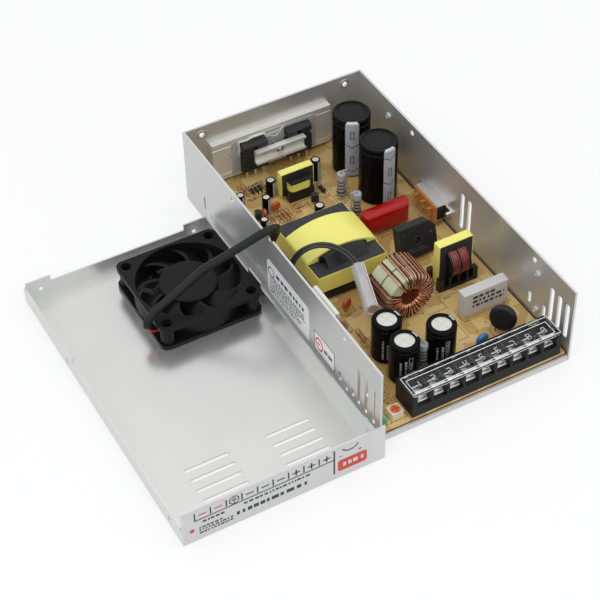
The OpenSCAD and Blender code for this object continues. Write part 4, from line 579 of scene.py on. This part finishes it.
def mix_seen(tree, plain, shown, output):
    """Shows one shader to the camera, gloss and clear pieces, and the plain one to all other light."""
    path = tree.nodes.new("ShaderNodeLightPath")
    seen = path.outputs["Is Camera Ray"]
    for ray in ("Is Glossy Ray", "Is Transmission Ray"):
        either = tree.nodes.new("ShaderNodeMath")
        either.operation = "MAXIMUM"
        tree.links.new(seen, either.inputs[0])
        tree.links.new(path.outputs[ray], either.inputs[1])
        seen = either.outputs[0]
    mix = tree.nodes.new("ShaderNodeMixShader")
    for source, socket in zip((seen, plain, shown), mix.inputs):
        tree.links.new(source, socket)
    tree.links.new(mix.outputs[0], output.inputs["Surface"])


def make_world():
    world = scene.world = bpy.data.worlds.new("studio")
    world.use_nodes = True
    tree = world.node_tree
    soft = tree.nodes["Background"]
    put(soft, Color=WORLD_COLOR, Strength=WORLD_LIGHT)
    bright = tree.nodes.new("ShaderNodeBackground")
    put(bright, Color=WHITE, Strength=1.0)
    mix_seen(tree, soft.outputs[0], bright.outputs[0], tree.nodes["World Output"])


def stage_plane(name, at, size, color, glow=0):
    """A flat square of the stage; glow tops it up towards white where it is looked at."""
    bpy.ops.mesh.primitive_plane_add(size=size, location=at)
    o = bpy.context.object
    o.name = name
    m = bpy.data.materials.new(name + "_paint")
    m.use_nodes = True
    tree = m.node_tree
    surface = tree.nodes["Principled BSDF"]
    put(surface, Base_Color=(*color, 1), Roughness=STAGE_ROUGH)
    if glow:
        light = tree.nodes.new("ShaderNodeEmission")
        put(light, Color=WHITE, Strength=glow)
        both = tree.nodes.new("ShaderNodeAddShader")
        tree.links.new(surface.outputs[0], both.inputs[0])
        tree.links.new(light.outputs[0], both.inputs[1])
        mix_seen(tree, surface.outputs[0], both.outputs[0], tree.nodes["Material Output"])
    o.data.materials.append(m)


make_world()
stage_plane("floor", FLOOR_AT, FLOOR_SIZE, FLOOR_COLOR, FLOOR_GLOW)
# Without this dark patch the floor's glow would show between the fan's blades
stage_plane("shade_under_fan", SHADE_AT, SHADE_SIZE, SHADE_COLOR)
for name, values in LAMPS.items():
    lamp(name, **values)
scene.view_settings.view_transform = "Standard"


# Cans: lids, polarity stripes and print; the side that a print faces is in degrees from x towards y
CAMERA_SIDE, TEXT_SIDE, STRIPE_SIDE, SMALL_SIDE = -118, -96, 8, -73
LID_DROP, LID_LEAST, LID_MOST = 0.06, 0.03, 0.1  # a lid's depth under its rim, as shares of the radius
STRIPE_FOOT, BULK_STEP, OUTPUT_STEP, SMALL_STEP = 0.6, 0.7, 0.6, 0.4
BULK_STRIPES = ((CAMERA_SIDE, 9.0, False), (-84, 7.5, True))  # side, first mark's drop, is it a chevron
TEXT_COLUMNS = ((-0.9, 0.9, 16), (-3.6, -1.6, 7), (-6.2, -4.4, 7))  # left, right, drop from the can's top


def bare_lids(node):
    """Shows the bare metal lids of a node's cans."""
    tops = [((lo + hi) / 2, (hi.x - lo.x) / 2, hi.z) for lo, hi in solids(node)]

    def on_lid(at, normal):
        return normal.z > FACING and any(
            LID_LEAST * r < top - at.z < LID_MOST * r and math.hypot(at.x - mid.x, at.y - mid.y) < r
            for mid, r, top in tops)

    paint(node, "lid_metal", on_lid)


def lid_print(batch, lo, hi):
    """Marks on a can's sunk lid, from its middle."""
    mid, r = (lo + hi) / 2, (hi.x - lo.x) / 2
    return Print(batch, plane((mid.x, mid.y, hi.z - LID_DROP * r), X, Y))


def bulk_capacitor_print():
    """Pale stripes with boxes and chevrons in turn on the two large cans, paler over the round top edge as a
    painted highlight, and rings pressed in their lids drawn as dark lines: painted shade in the grooves.
    """
    batch = Batch("bulk_capacitor_print")
    half, tip, over = 4.0, 2.8, 0.7
    stroke, pitch, clear = 0.5, 8.8, 3
    chevron_rise, box_half, box_rise = 2.4, 0.9, 2.6
    ring_share, ring_stroke, lid_level = 0.7, 0.25, TOP + 30
    for (lo, hi), (side, drop, chevron) in zip(solids("bulk_capacitors"), BULK_STRIPES):
        r = (hi.x - lo.x) / 2
        ink = Print(batch, can_side(lo, hi, side), BULK_STEP)
        edge, end = hi.z - CAN_EDGE * r, hi.z + over
        ink.rect(-half, lo.z + STRIPE_FOOT, half, edge, "print_slate")
        # Over the round top edge the stripe is paler: a painted highlight.
        ink.strip((-half, edge), (half, edge), (tip, end), (-tip, end), "print_pale")
        z = hi.z - drop
        while z > lo.z + clear:
            if chevron:
                ink.line([(-half, z + chevron_rise), (0, z), (half, z + chevron_rise)], stroke, "print_dark")
            else:
                ink.frame(-box_half, z - box_rise, box_half, z + box_rise, stroke, "print_dark")
            chevron = not chevron
            z -= pitch
        # The pressed ring is a dark line: painted shade in its groove.
        lid_print(batch, lo, hi).ring(0, 0, r * ring_share, ring_stroke, "sleeve", 1)
    paint("bulk_capacitors", "can_lid", lambda at, n: n.z > FACING and at.z > lid_level)
    batch.make()


def output_capacitor_print():
    """Stripes, an outlined field and columns of print on the three output cans, and their scored lids, the
    score lines in darker metal as painted shade in the grooves.
    """
    batch = Batch("output_capacitor_print")
    half, over = 2.4, 1.2
    dash_half, dash_long, dash_pitch, dash_foot, dash_top = 0.4, 2, 5, 4, 3
    field_half, field_low, field_high, field_stroke = 1.0, 15, 6, 0.3
    text_left, text_right, margin, text_foot = -0.6, 0.7, 1, 3
    scores, score_share, score_stroke = (20, 110), 0.6, 0.16
    bare_lids("output_capacitors")
    for k, (lo, hi) in enumerate(solids("output_capacitors")):
        stripe = Print(batch, can_side(lo, hi, STRIPE_SIDE), OUTPUT_STEP)
        stripe.rect(-half, lo.z + STRIPE_FOOT, half, hi.z + over, "print_pale")
        for z in range(int(lo.z) + dash_foot, int(hi.z) - dash_top, dash_pitch):
            stripe.rect(-dash_half, z, dash_half, z + dash_long, "print_dark", 2)
        ink = Print(batch, can_side(lo, hi, TEXT_SIDE), OUTPUT_STEP)
        low, high = hi.z - field_low, hi.z - field_high
        ink.frame(-field_half, low, field_half, high, field_stroke, "print_grey")
        columns = [(text_left, text_right, low + margin, high - margin)]
        columns += [(left, right, lo.z + text_foot, hi.z - drop) for left, right, drop in TEXT_COLUMNS]
        for n, (left, right, foot, end) in enumerate(columns):
            ink.bars(foot, left, end, right, 1, "print_grey", k + 3 * n, upright=True)
        lid = lid_print(batch, lo, hi)
        for a in map(math.radians, scores):
            reach = Vector((math.cos(a), math.sin(a))) * (hi.x - lo.x) / 2 * score_share
            lid.line([-reach, reach], score_stroke, "score", 1)
    batch.make()


def small_capacitor_print():
    """A stripe down each small can, and their bare lids."""
    batch = Batch("small_capacitor_print")
    share, foot, drop = 0.35, 0.4, 0.6
    bare_lids("small_capacitors")
    for lo, hi in solids("small_capacitors"):
        half = share * (hi.x - lo.x) / 2
        stripe = Print(batch, can_side(lo, hi, SMALL_SIDE), SMALL_STEP)
        stripe.rect(-half, lo.z + foot, half, hi.z - drop, "print_slate")
    batch.make()


# Resistors and diodes; a band has its share of the body's length, and the body's radius there
WAIST, WAIST_FROM = 0.84, 0.24
UPRIGHT = ((15.6, 57.0, 2.6, 16.6), (15.0, 38.6, 2.6, 16.0), (-14.4, -78.4, 2.4, 15.2))  # x, y, r, length
UPRIGHT_LIFT, UPRIGHT_BANDS = 2.0, (0.08, 0.2, 0.36, 0.5, 0.64)
LYING_BANDS, DIODE_BANDS = ((0.12, 1), (0.38, WAIST), (0.58, WAIST), (0.88, 1)), ((0.84, 1),)
BAND_TURN = ("band_brown", "band_black", "band_red")
DIODES = ((-25.8, 87.6), (-23.3, 87.6), (-20.8, 88.0), (9.4, 69.0))
LEAD_R, LEAD_OUT = 0.3, 1.2


def is_diode(lo, hi):
    mid = (lo + hi) / 2
    return any(math.hypot(mid.x - x, mid.y - y) < 1 for x, y in DIODES)


def resistor_bands():
    """Colour bands on the upright and lying resistors, and a pale cathode band on the diodes."""
    batch = Batch("resistor_bands")
    band, band_share = 0.9, 0.05
    for x, y, r, length in UPRIGHT:
        for share in UPRIGHT_BANDS:
            z = TOP + UPRIGHT_LIFT + length * share
            size = r if share < WAIST_FROM else r * WAIST
            batch.tube([(x, y, z), (x, y, z + band)], size + LAYER, "band_black", 20)
    lying = solids("axial_parts")
    for n, (lo, hi) in enumerate(lying):
        r = (hi.z - TOP) / 2
        mid = Vector(((lo.x + hi.x) / 2, (lo.y + hi.y) / 2, TOP + r))
        along = X if hi.x - lo.x > hi.y - lo.y else Y
        length = max(hi.x - lo.x, hi.y - lo.y) - 2 * (LEAD_R + LEAD_OUT)
        if is_diode(lo, hi):
            keys, bands = ["print_pale"], DIODE_BANDS
        else:
            keys, bands = [BAND_TURN[(n + k) % 3] for k in range(3)] + ["band_gold"], LYING_BANDS
        for key, (share, size) in zip(keys, bands):
            at = mid + along * length * (share - 0.5)
            half = along * band_share * length
            batch.tube([at - half, at + half], r * size + LAYER, key, 14)
    boxes = [b for b in lying if is_diode(*b)]

    def on_diode(at, normal):
        return any(lo.x <= at.x <= hi.x and lo.y <= at.y <= hi.y for lo, hi in boxes)

    paint("axial_parts", "diode", on_diode)
    batch.make()


# Coils; places round the toroid are in degrees from x towards z
TOROID_TURNS, TOROID_FIRST, TOROID_SWEEP = 32, 152, 332
TOROID_HOLE, TOROID_WIRE, TOROID_LOOSE = 5.0, 0.95, 0.5
TOROID_BEND, BEND_STEPS = 2.4, 4
# The deeper layer of turns is in painted shade.
TOROID_LAYERS = ((0.25, 0.7, "enamel_dark"), (0.75, 0, "enamel"))  # share of the pitch, depth, finish
WANDER, SKEW = 0.8, 1.5
THIN_SPOT, TAIL_TURNS = (462, 472), (258, 282)
SEAM_R, SEAM_STEPS = 0.16, 60


def toroid_turns():
    """The toroid's winding as separate turns over a deeper layer in painted shade, the sides of each turn in
    painted shade too, apart where the pale core shows.
    """
    batch = Batch("toroid_turns")
    rng = random.Random(5)
    lo, hi = box_mm("toroid_winding")
    core_lo, core_hi = box_mm("toroid_cores")
    mid, core_r = (core_lo + core_hi) / 2, (core_hi.x - core_lo.x) / 2
    wire = TOROID_WIRE / 2
    outer, inner = core_r + wire + TOROID_LOOSE, TOROID_HOLE + wire
    half = (hi.y - lo.y) / 2 - wire + TOROID_LOOSE

    def at(angle, out, y):
        return mid + Vector((out * math.cos(angle), y, out * math.sin(angle)))

    def turn(degrees, depth, key):
        angle = math.radians(degrees + rng.uniform(-WANDER, WANDER))
        skew = math.radians(rng.uniform(-SKEW, SKEW))
        path = []
        for out, y, quarter in ((outer, 1, 0), (inner, 1, 1), (inner, -1, 2), (outer, -1, 3)):
            side = -1 if out == outer else 1
            cu, cv = out + side * (TOROID_BEND + depth), y * (half - TOROID_BEND - depth)
            for s in range(BEND_STEPS + 1):
                a = math.pi / 2 * (quarter + s / BEND_STEPS)
                u, v = cu + TOROID_BEND * math.cos(a), cv + TOROID_BEND * math.sin(a)
                path.append(at(angle + skew * y, u, v))
        along = Vector((-math.sin(angle), 0, math.cos(angle)))
        # The faces of a turn that are not outward are in painted shade.
        batch.tube(path, wire, key, 8, True, along, "enamel_dark")

    for k in range(TOROID_TURNS):
        for share, depth, key in TOROID_LAYERS:
            degrees = TOROID_FIRST + TOROID_SWEEP * (k + share) / TOROID_TURNS
            if not THIN_SPOT[0] < degrees < THIN_SPOT[1]:
                turn(degrees, depth, key)
    for degrees in TAIL_TURNS:
        start = at(math.radians(degrees), outer, TOROID_BEND - half)
        foot = Vector((start.x, start.y, TOP))
        batch.tube([start, (start + foot) / 2, foot], wire, "enamel", 8)
    batch.tube([at(a, core_r, 0) for a in round_angles(SEAM_STEPS)], SEAM_R, "print_dark", 6, True)
    turns = batch.make()
    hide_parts("toroid_winding")


def choke_turns():
    """Separate turns of wire on the choke's two bays; between them the CAD winding shows in painted shade."""
    batch = Batch("choke_turns")
    count, wire, steps = 4, 0.42, 40
    for lo, hi in solids("choke_windings"):
        mid, r = (lo + hi) / 2, (hi.y - lo.y) / 2
        for k in range(count):
            x = lo.x + wire + (hi.x - lo.x - 2 * wire) * k / (count - 1)
            ring = [(x, mid.y + r * math.cos(a), mid.z + r * math.sin(a)) for a in round_angles(steps)]
            batch.tube(ring, wire, "enamel_red", 8, True)
    batch.make()


# Board
OUTLINED = ("film_capacitor suppression_capacitor bridge_rectifier choke_bobbin driver_transformer_bobbin "
            "main_transformer_core fan_connector trimmer_base indicator_light terminal_body").split()
OUTLINED_MANY = "axial_parts disc_capacitors small_transistors power_resistors".split()
RINGED = "bulk_capacitors output_capacitors small_capacitors inrush_thermistor".split()
LOOSE_LINES = (
    [(6, -62), (18, -62), (18, -72), (12, -72)], [(-44, -62), (-44, -30), (-38, -30)],
    [(-50, -70), (-38, -70), (-38, -84)], [(14, -20), (20, -20), (20, -48), (8, -48)],
    [(48, -70), (48, -44), (52, -44)], [(8, 24), (8, 46), (20, 46), (20, 66)],
    [(-48, 44), (-42, 44), (-42, 60)], [(-10, 88), (6, 88), (6, 94)],
    [(24, 88), (24, 62), (18, 62)], [(46, 24), (46, -18), (50, -18)],
)


def board_print():
    """Dark outlines of the parts, short marks beside them and solder spots."""
    batch = Batch("board_print")
    lo_b, hi_b = box_mm("circuit_board")
    ink = Print(batch, plane((0, 0, TOP), X, Y))
    rng = random.Random(11)
    gap, stroke, inset, ring_gap = 1.0, 0.28, 0.6, 0.7
    mark_room, mark_in, mark_end, mark_low, mark_high = 4, 0.6, 4.6, 2, 0.6
    spots, spot_inset, spot_layer, spot_keys = 150, 2, 1.5, ("solder", "silk", "silk")
    boxes = [box_mm(node) for node in OUTLINED]
    for node in OUTLINED_MANY:
        boxes += solids(node)
    for lo, hi in boxes:
        u0, v0 = max(lo.x - gap, lo_b.x + inset), max(lo.y - gap, lo_b.y + inset)
        u1, v1 = min(hi.x + gap, hi_b.x - inset), min(hi.y + gap, hi_b.y - inset)
        ink.frame(u0, v0, u1, v1, stroke, "silk", 1)
        if v0 > lo_b.y + mark_room:
            end = min(u0 + mark_end, u1)
            ink.bars(u0 + mark_in, v0 - mark_low, end, v0 - mark_high, 1, "silk", rng.random(), 1)
    for node in RINGED:
        for lo, hi in solids(node):
            mid = (lo + hi) / 2
            ink.ring(mid.x, mid.y, (hi.x - lo.x) / 2 + ring_gap, stroke, "silk", 1)
    for route in LOOSE_LINES:
        ink.line(route, stroke, "silk", 1)
    for _ in range(spots):
        u = rng.uniform(lo_b.x + spot_inset, hi_b.x - spot_inset)
        v = rng.uniform(lo_b.y + spot_inset, hi_b.y - spot_inset)
        ink.disc(u, v, rng.uniform(0.3, 0.6), rng.choice(spot_keys), spot_layer, 10)
    batch.make()


# Labels, with plain fields and signs in place of words; a box is left, low, right and high
SIGN_STROKE = 0.5
EARTH_RING, EARTH_STROKE, EARTH_BAR = 1.5, 0.3, 0.25
EARTH_BARS, EARTH_PITCH = (0.9, 0.6, 0.3), 0.45


def minus(ink, u, v, size, key):
    ink.line([(u - size, v), (u + size, v)], size * SIGN_STROKE, key)


def plus(ink, u, v, size, key):
    minus(ink, u, v, size, key)
    ink.line([(u, v - size), (u, v + size)], size * SIGN_STROKE, key)


def earth(ink, u, v, size, key):
    """The earth sign in its circle, upside down like the rest of the label."""
    ink.ring(u, v, size * EARTH_RING, size * EARTH_STROKE, key)
    ink.line([(u, v - size), (u, v)], size * EARTH_STROKE, key)
    for k, share in enumerate(EARTH_BARS):
        half, level = size * share, v + k * size * EARTH_PITCH
        ink.line([(u - half, level), (u + half, level)], size * EARTH_BAR, key)


SIGNS = [minus] * 2 + [earth] + [minus] * 3 + [plus] * 3
FLAP_BOX, RED_BOX, RED_BARS = (1.5, 1.6, 103.0, 21.4), (84.6, 4.6, 101.0, 12.6), (87.6, 6.6, 99.0, 10.8)
FLAP_BARS = (((33, 11, 76.6, 13.2), 1), ((11, 11, 27, 13.2), 1), ((29, 5, 73, 9), 1), ((9, 3.6, 27, 9.2), 3))
LONG_BOX, SHORT_BOX = (-9.1, 9.6, 36.3, 33.5), (41.3, 9.8, 62.6, 23.6)
LONG_BARS = (((1, 25.4, 32, 29.4), 1), ((-6, 11.4, 33, 24), 7))
DISC_BARS, SHORT_BARS = (44.6, 15.4, 48.8, 17.8), (51.6, 14.6, 61, 18.2)


def flap_label():
    """The cover's front label: cells with signs, a dial, a red field, a red dot and rows of bars."""
    batch = Batch("flap_label")
    ink = Print(batch, plane((COVER_LO.x, COVER_LO.y, 0), X, Z))
    ink.rounded(*FLAP_BOX, 0.8, "label")
    left, low, pitch, foot, top = 7.0, 14.6, 8.4, 15.8, 19.8
    sign_level, sign_size, red_signs = 17.8, 1.7, 2
    divider_low, divider_high = 4.6, 20.6
    dial_x, dial_z, dial_r, dial_from, dial_sweep = 91.6, 22.8, 5.2, 215, 110
    dial_reach, dial_level, dial_sign = 5.4, 15.2, 0.8
    dot_x, dot_z, dot_r = 5.2, 8.3, 1.3
    for k, sign in enumerate(SIGNS):
        u = left + pitch * (k + 0.5)
        sign(ink, u, sign_level, sign_size, "print_red" if k < red_signs else "print_dark")
        if k:
            ink.line([(left + pitch * k, foot), (left + pitch * k, top)], 0.8, "print_dark")
    end = left + pitch * len(SIGNS)
    ink.line([(left, top), (left, low), (end, low)], 0.7, "print_dark")
    ink.line([(end, divider_low), (end, divider_high)], 0.9, "print_dark")
    ink.ring(dial_x, dial_z, dial_r, 0.7, "print_dark", 2, dial_from, dial_sweep)
    minus(ink, dial_x - dial_reach, dial_level, dial_sign, "print_dark")
    plus(ink, dial_x + dial_reach, dial_level, dial_sign, "print_dark")
    ink.rounded(*RED_BOX, 1.6, "print_red", 2)
    ink.bars(*RED_BARS, 1, "label_white", 4, 3)
    for seed, (box, rows) in enumerate(FLAP_BARS, 5):
        ink.bars(*box, rows, "print_dark", seed)
    ink.disc(dot_x, dot_z, dot_r, "print_red", 2)
    batch.make()


def wall_labels():
    """Two labels on the outside of the left wall."""
    batch = Batch("wall_labels")
    ink = Print(batch, plane((WALL, 0, 0), -Y, Z))
    ring_x, ring_z, ring_r = -4.6, 26, 3.0
    disc_x, disc_z, disc_squash, edge = 46.6, 16.6, 1.1, 0.3
    ink.rounded(*LONG_BOX, 2.4, "label_white")
    ink.ring(ring_x, ring_z, ring_r, 0.6, "print_dark")
    for seed, (box, rows) in enumerate(LONG_BARS, 21):
        ink.bars(*box, rows, "print_dark", seed)
    u0, v0, u1, v1 = SHORT_BOX
    ink.rect(u0, v0, u1, v1, "label_white")
    ink.frame(u0 + edge, v0 + edge, u1 - edge, v1 - edge, 0.5, "print_dark")
    for layer, (r, key) in enumerate(((4.0, "print_red"), (2.9, "label_white")), 2):
        ink.disc(disc_x, disc_z, r, key, layer, 28, disc_squash)
    ink.bars(*DISC_BARS, 1, "print_red", 23, 4)
    ink.bars(*SHORT_BARS, 1, "print_dark", 24)
    batch.make()


def case_print():
    """Rows of bars on the grey box capacitor."""
    batch = Batch("box_capacitor_print")
    lo, hi = box_mm("suppression_capacitor")
    ink = Print(batch, plane((lo.x, lo.y, lo.z), X, Z))
    wide, tall = hi.x - lo.x, hi.z - lo.z
    left, low, right, high = 0.2 * wide, 0.3 * tall, 0.92 * wide, 0.86 * tall
    ink.bars(left, low, right, high, 3, "print_dark", 31)
    batch.make()


# Terminals: the lid's numbers are drawn with the strokes of a seven-part figure
SEGMENTS = {"a": ((0, 2), (1, 2)), "b": ((1, 2), (1, 1)), "c": ((1, 1), (1, 0)), "d": ((0, 0), (1, 0)),
            "e": ((0, 0), (0, 1)), "f": ((0, 1), (0, 2)), "g": ((0, 1), (1, 1))}
DIGITS = "abcdef bc abged abgcd fgbc afgcd afgedc abc abcdefg abcdfg".split()
DIGIT_SIZE, DIGIT_STROKE, DIGIT_SHARE = 1.8, 0.36, 0.35
# The lid's painted highlight lines: their radius, which is also the outer one's inset, the inner one's inset,
# and how far it lies below the top.
LID_RIM, LID_LINE, LID_STEP = 0.22, 2.3, 1.0
CLAMP_R, CLAMP_BACK, CLAMP_RISE, CLAMP_FOOT, CLAMP_BEND = 0.42, 0.9, 1.5, 0.2, 0.9


def digit(ink, number, u, v, key):
    """A plain number drawn with straight strokes, from its lower left corner."""
    for name in DIGITS[number]:
        a, b = (Vector((u, v)) + Vector(end) * DIGIT_SIZE for end in SEGMENTS[name])
        ink.line([a, b], DIGIT_STROKE, key, 1)


def lid_rims():
    """Painted highlights along the edges of the clear terminal lid and along a line one step below its top,
    and the number of each way on it.
    """
    batch = Batch("lid_rims", "lid")
    top, face = outer_face("terminal_cover", Z)
    lo, hi = box_of(face)
    for inset, z in ((LID_RIM, top), (LID_LINE, top - LID_STEP)):
        u0, u1, v0, v1 = lo.x + inset, hi.x - inset, lo.y + inset, hi.y - inset
        corners = [(u0, v0, z), (u1, v0, z), (u1, v1, z), (u0, v1, z)]
        for a, b in zip(corners, corners[1:] + corners[:1]):
            batch.tube([a, b], LID_RIM, "clear_edge", 6)
    ink = Print(batch, plane((0, lo.y, top - LID_STEP), X, Y))
    ways = sorted((a.x + b.x) / 2 for a, b in solids("terminal_screws"))
    for number, x in enumerate(ways, 1):
        digit(ink, number % 10, x - DIGIT_SIZE / 2, (hi.y - lo.y) * DIGIT_SHARE, "print_white")
    batch.make()


def terminal_clamps():
    """The front lip of each way's clamp, curled up over the edge of its plate, and a tube along the plate's
    front edge, in the brighter terminal metal that paints their highlights.
    """
    batch = Batch("terminal_clamps")
    for lo, hi in solids("terminal_plates"):
        y, low, high, level = lo.y + CLAMP_BACK, hi.z + CLAMP_R, hi.z + CLAMP_RISE, (lo.z + hi.z) / 2
        lip = [(lo.x + CLAMP_FOOT, y, low), (lo.x + CLAMP_BEND, y, high),
               (hi.x - CLAMP_BEND, y, high), (hi.x - CLAMP_FOOT, y, low)]
        # The lip and the plate's front edge take the brighter metal as painted highlights.
        for path in (lip, [(lo.x, lo.y, level), (hi.x, lo.y, level)]):
            batch.tube(path, CLAMP_R, "plate", 8)
    batch.make()


# Other marks
MOUTH_DEPTH, MOUTH_WALL, MOUTH_RIM = 1.2, 0.9, 0.6
# Where round the sleeve its folds' painted highlights lie, in degrees, and their radius.
FOLDS, FOLD_R = (60, 125), 0.2
LEG_TOPS = (("switching_transistors", 11.4), ("bridge_rectifier", 9.0), ("small_transistors", 8.0))
BRIDGE_LEAN, BRIDGE_CUT = 15, 4.6
BACK_HOLE_X, BACK_HOLE_DROP, COLLAR_R = 46.3, 5.5, 2.85
BLUE_X, BLUE_Y, BLUE_REACH = 19.6, -82.0, 7


def sleeve_mouth():
    """The tinted mouth of the clear sleeve, a painted highlight round its rim, and painted highlights along
    two folds of it.
    """
    batch = Batch("sleeve_mouth")
    out = (Vector(LEAD_A[0]) - Vector(LEAD_A[1])).normalized()
    reach, rim = outer_face("thermal_sleeve", out)
    lo, hi = box_of(rim)
    end, r = (lo + hi) / 2, (hi.z - lo.z) / 2
    back = out * (reach + outer_face("thermal_sleeve", -out)[0])
    side = Z.cross(out).normalized()
    Print(batch, plane(end - out * MOUTH_DEPTH, side, Z)).disc(0, 0, r - MOUTH_WALL, "mouth")
    Print(batch, plane(end, side, Z)).ring(0, 0, r - MOUTH_RIM / 2, MOUTH_RIM, "clear_edge", 1)
    for a in map(math.radians, FOLDS):
        fold = end + (side * math.cos(a) + Z * math.sin(a)) * r
        batch.tube([fold, fold - back], FOLD_R, "clear_edge", 6)
    batch.make()


def paste():
    """Pale paste round the first transistor on the rear heatsink, and wisps of it towards the next one."""
    batch = Batch("heat_paste")
    rng = random.Random(9)
    r, steps, off, left_drop, right_drop = 0.6, 6, 0.4, 9, 6
    wisp_off, wisp_gap, wisp_drop, wisp_rise = 0.3, 1, 2, 1.5
    sags, up_wave, down_wave = (0.5, 3.5), Z * 0.8, Z * 0.6
    bar = box_mm("rear_heatsink")[0].y
    (lo, hi), (next_lo, _) = sorted(solids("switching_transistors"), key=lambda b: b[0].x)
    left, right, top = lo.x - r, hi.x + r, hi.z + r
    corners = [(left, hi.z - left_drop), (left, top), (right, top), (right, hi.z - right_drop)]
    route = []
    for a, b in zip(corners, corners[1:]):
        for s in range(steps):
            q = Vector(a).lerp(Vector(b), s / steps)
            route.append((q.x + rng.uniform(-0.3, 0.4), bar - off, q.y + rng.uniform(-0.2, 0.9)))
    batch.tube(through(route, 3), r, "paste", 8)
    start = Vector((hi.x + wisp_gap, bar - wisp_off, hi.z - wisp_drop))
    end = Vector((next_lo.x, bar - wisp_off, hi.z + wisp_rise))
    for drop in sags:
        sag = (start + end) / 2 - Z * drop
        up, down = start.lerp(sag, 0.5) + up_wave, sag.lerp(end, 0.5) - down_wave
        batch.tube(through([start, up, sag, down, end], 5), r / 2, "paste", 8)
    batch.make()


def selector_contacts():
    """Bright contact strips on the open side of the voltage selector."""
    batch = Batch("selector_contacts")
    lo, hi = box_mm("selector_board")
    ink = Print(batch, plane((lo.x, hi.y, lo.z), -Y, Z))
    wide, high = hi.y - lo.y, hi.z - lo.z
    count, margin, foot, pitch, thick = 5, wide * 0.08, 0.1, 0.18, 0.5
    for k in range(count):
        low = high * (foot + pitch * k)
        ink.rect(margin, low, wide - margin, low + thick, "band_gold")
    batch.make()


def tinned_legs():
    """Bare wire where the legs of the moulded parts come down to the board."""
    for node, knee in LEG_TOPS:
        paint(node, "solder", lambda at, n: at.z < knee)


def bridge_marks():
    """A ring round the hole of the leaning bridge rectifier, painted highlights along its left and top edges,
    and its plus and minus.
    """
    batch = Batch("bridge_marks")
    ring_r, edge, sign_size, margin = 2.7, 0.3, 0.9, 3
    sign_in, plus_drop, minus_drop, bars_top = 3.4, BRIDGE_CUT + 2.6, 4, 6
    lean = math.radians(BRIDGE_LEAN)
    up = Vector((0, math.sin(lean), math.cos(lean)))
    out = X.cross(up)
    reach, face = outer_face("bridge_rectifier", out)
    lo, hi = box_of([(q.x, up.dot(q)) for q in face])
    wide, tall = hi - lo
    ink = Print(batch, plane(X * lo.x + up * lo.y + out * reach, X, up))
    ink.ring(wide / 2, tall / 2, ring_r, 0.4, "worn")
    # Painted highlights along the face's left and top edges.
    ink.line([(edge, edge), (edge, tall - edge), (wide - BRIDGE_CUT, tall - edge)], edge, "worn")
    plus(ink, wide - sign_in, tall - plus_drop, sign_size, "worn")
    minus(ink, sign_in, tall - minus_drop, sign_size, "worn")
    ink.bars(margin, margin, wide - margin, bars_top, 2, "worn", 41)
    batch.make()


def wall_collars():
    """Painted highlights on the rims of the drawn collars round the two holes of the back wall, in the
    brighter screw metal.
    """

    def on_rim(at, normal):
        off = math.hypot(abs(at.x) - BACK_HOLE_X, at.z - WALL_TOP + BACK_HOLE_DROP)
        return normal.y < -FACING and at.y > 0 and off < COLLAR_R

    paint("chassis", "screw", on_rim)


def disc_colours():
    """The small disc near the terminal strip is blue."""
    paint("disc_capacitors", "blue_dip",
          lambda at, n: math.hypot(at.x - BLUE_X, at.y - BLUE_Y) < BLUE_REACH)


bulk_capacitor_print()
output_capacitor_print()
small_capacitor_print()
resistor_bands()
toroid_turns()
choke_turns()
board_print()
flap_label()
wall_labels()
case_print()
lid_rims()
terminal_clamps()
sleeve_mouth()
paste()
selector_contacts()
tinned_legs()
bridge_marks()
wall_collars()
disc_colours()
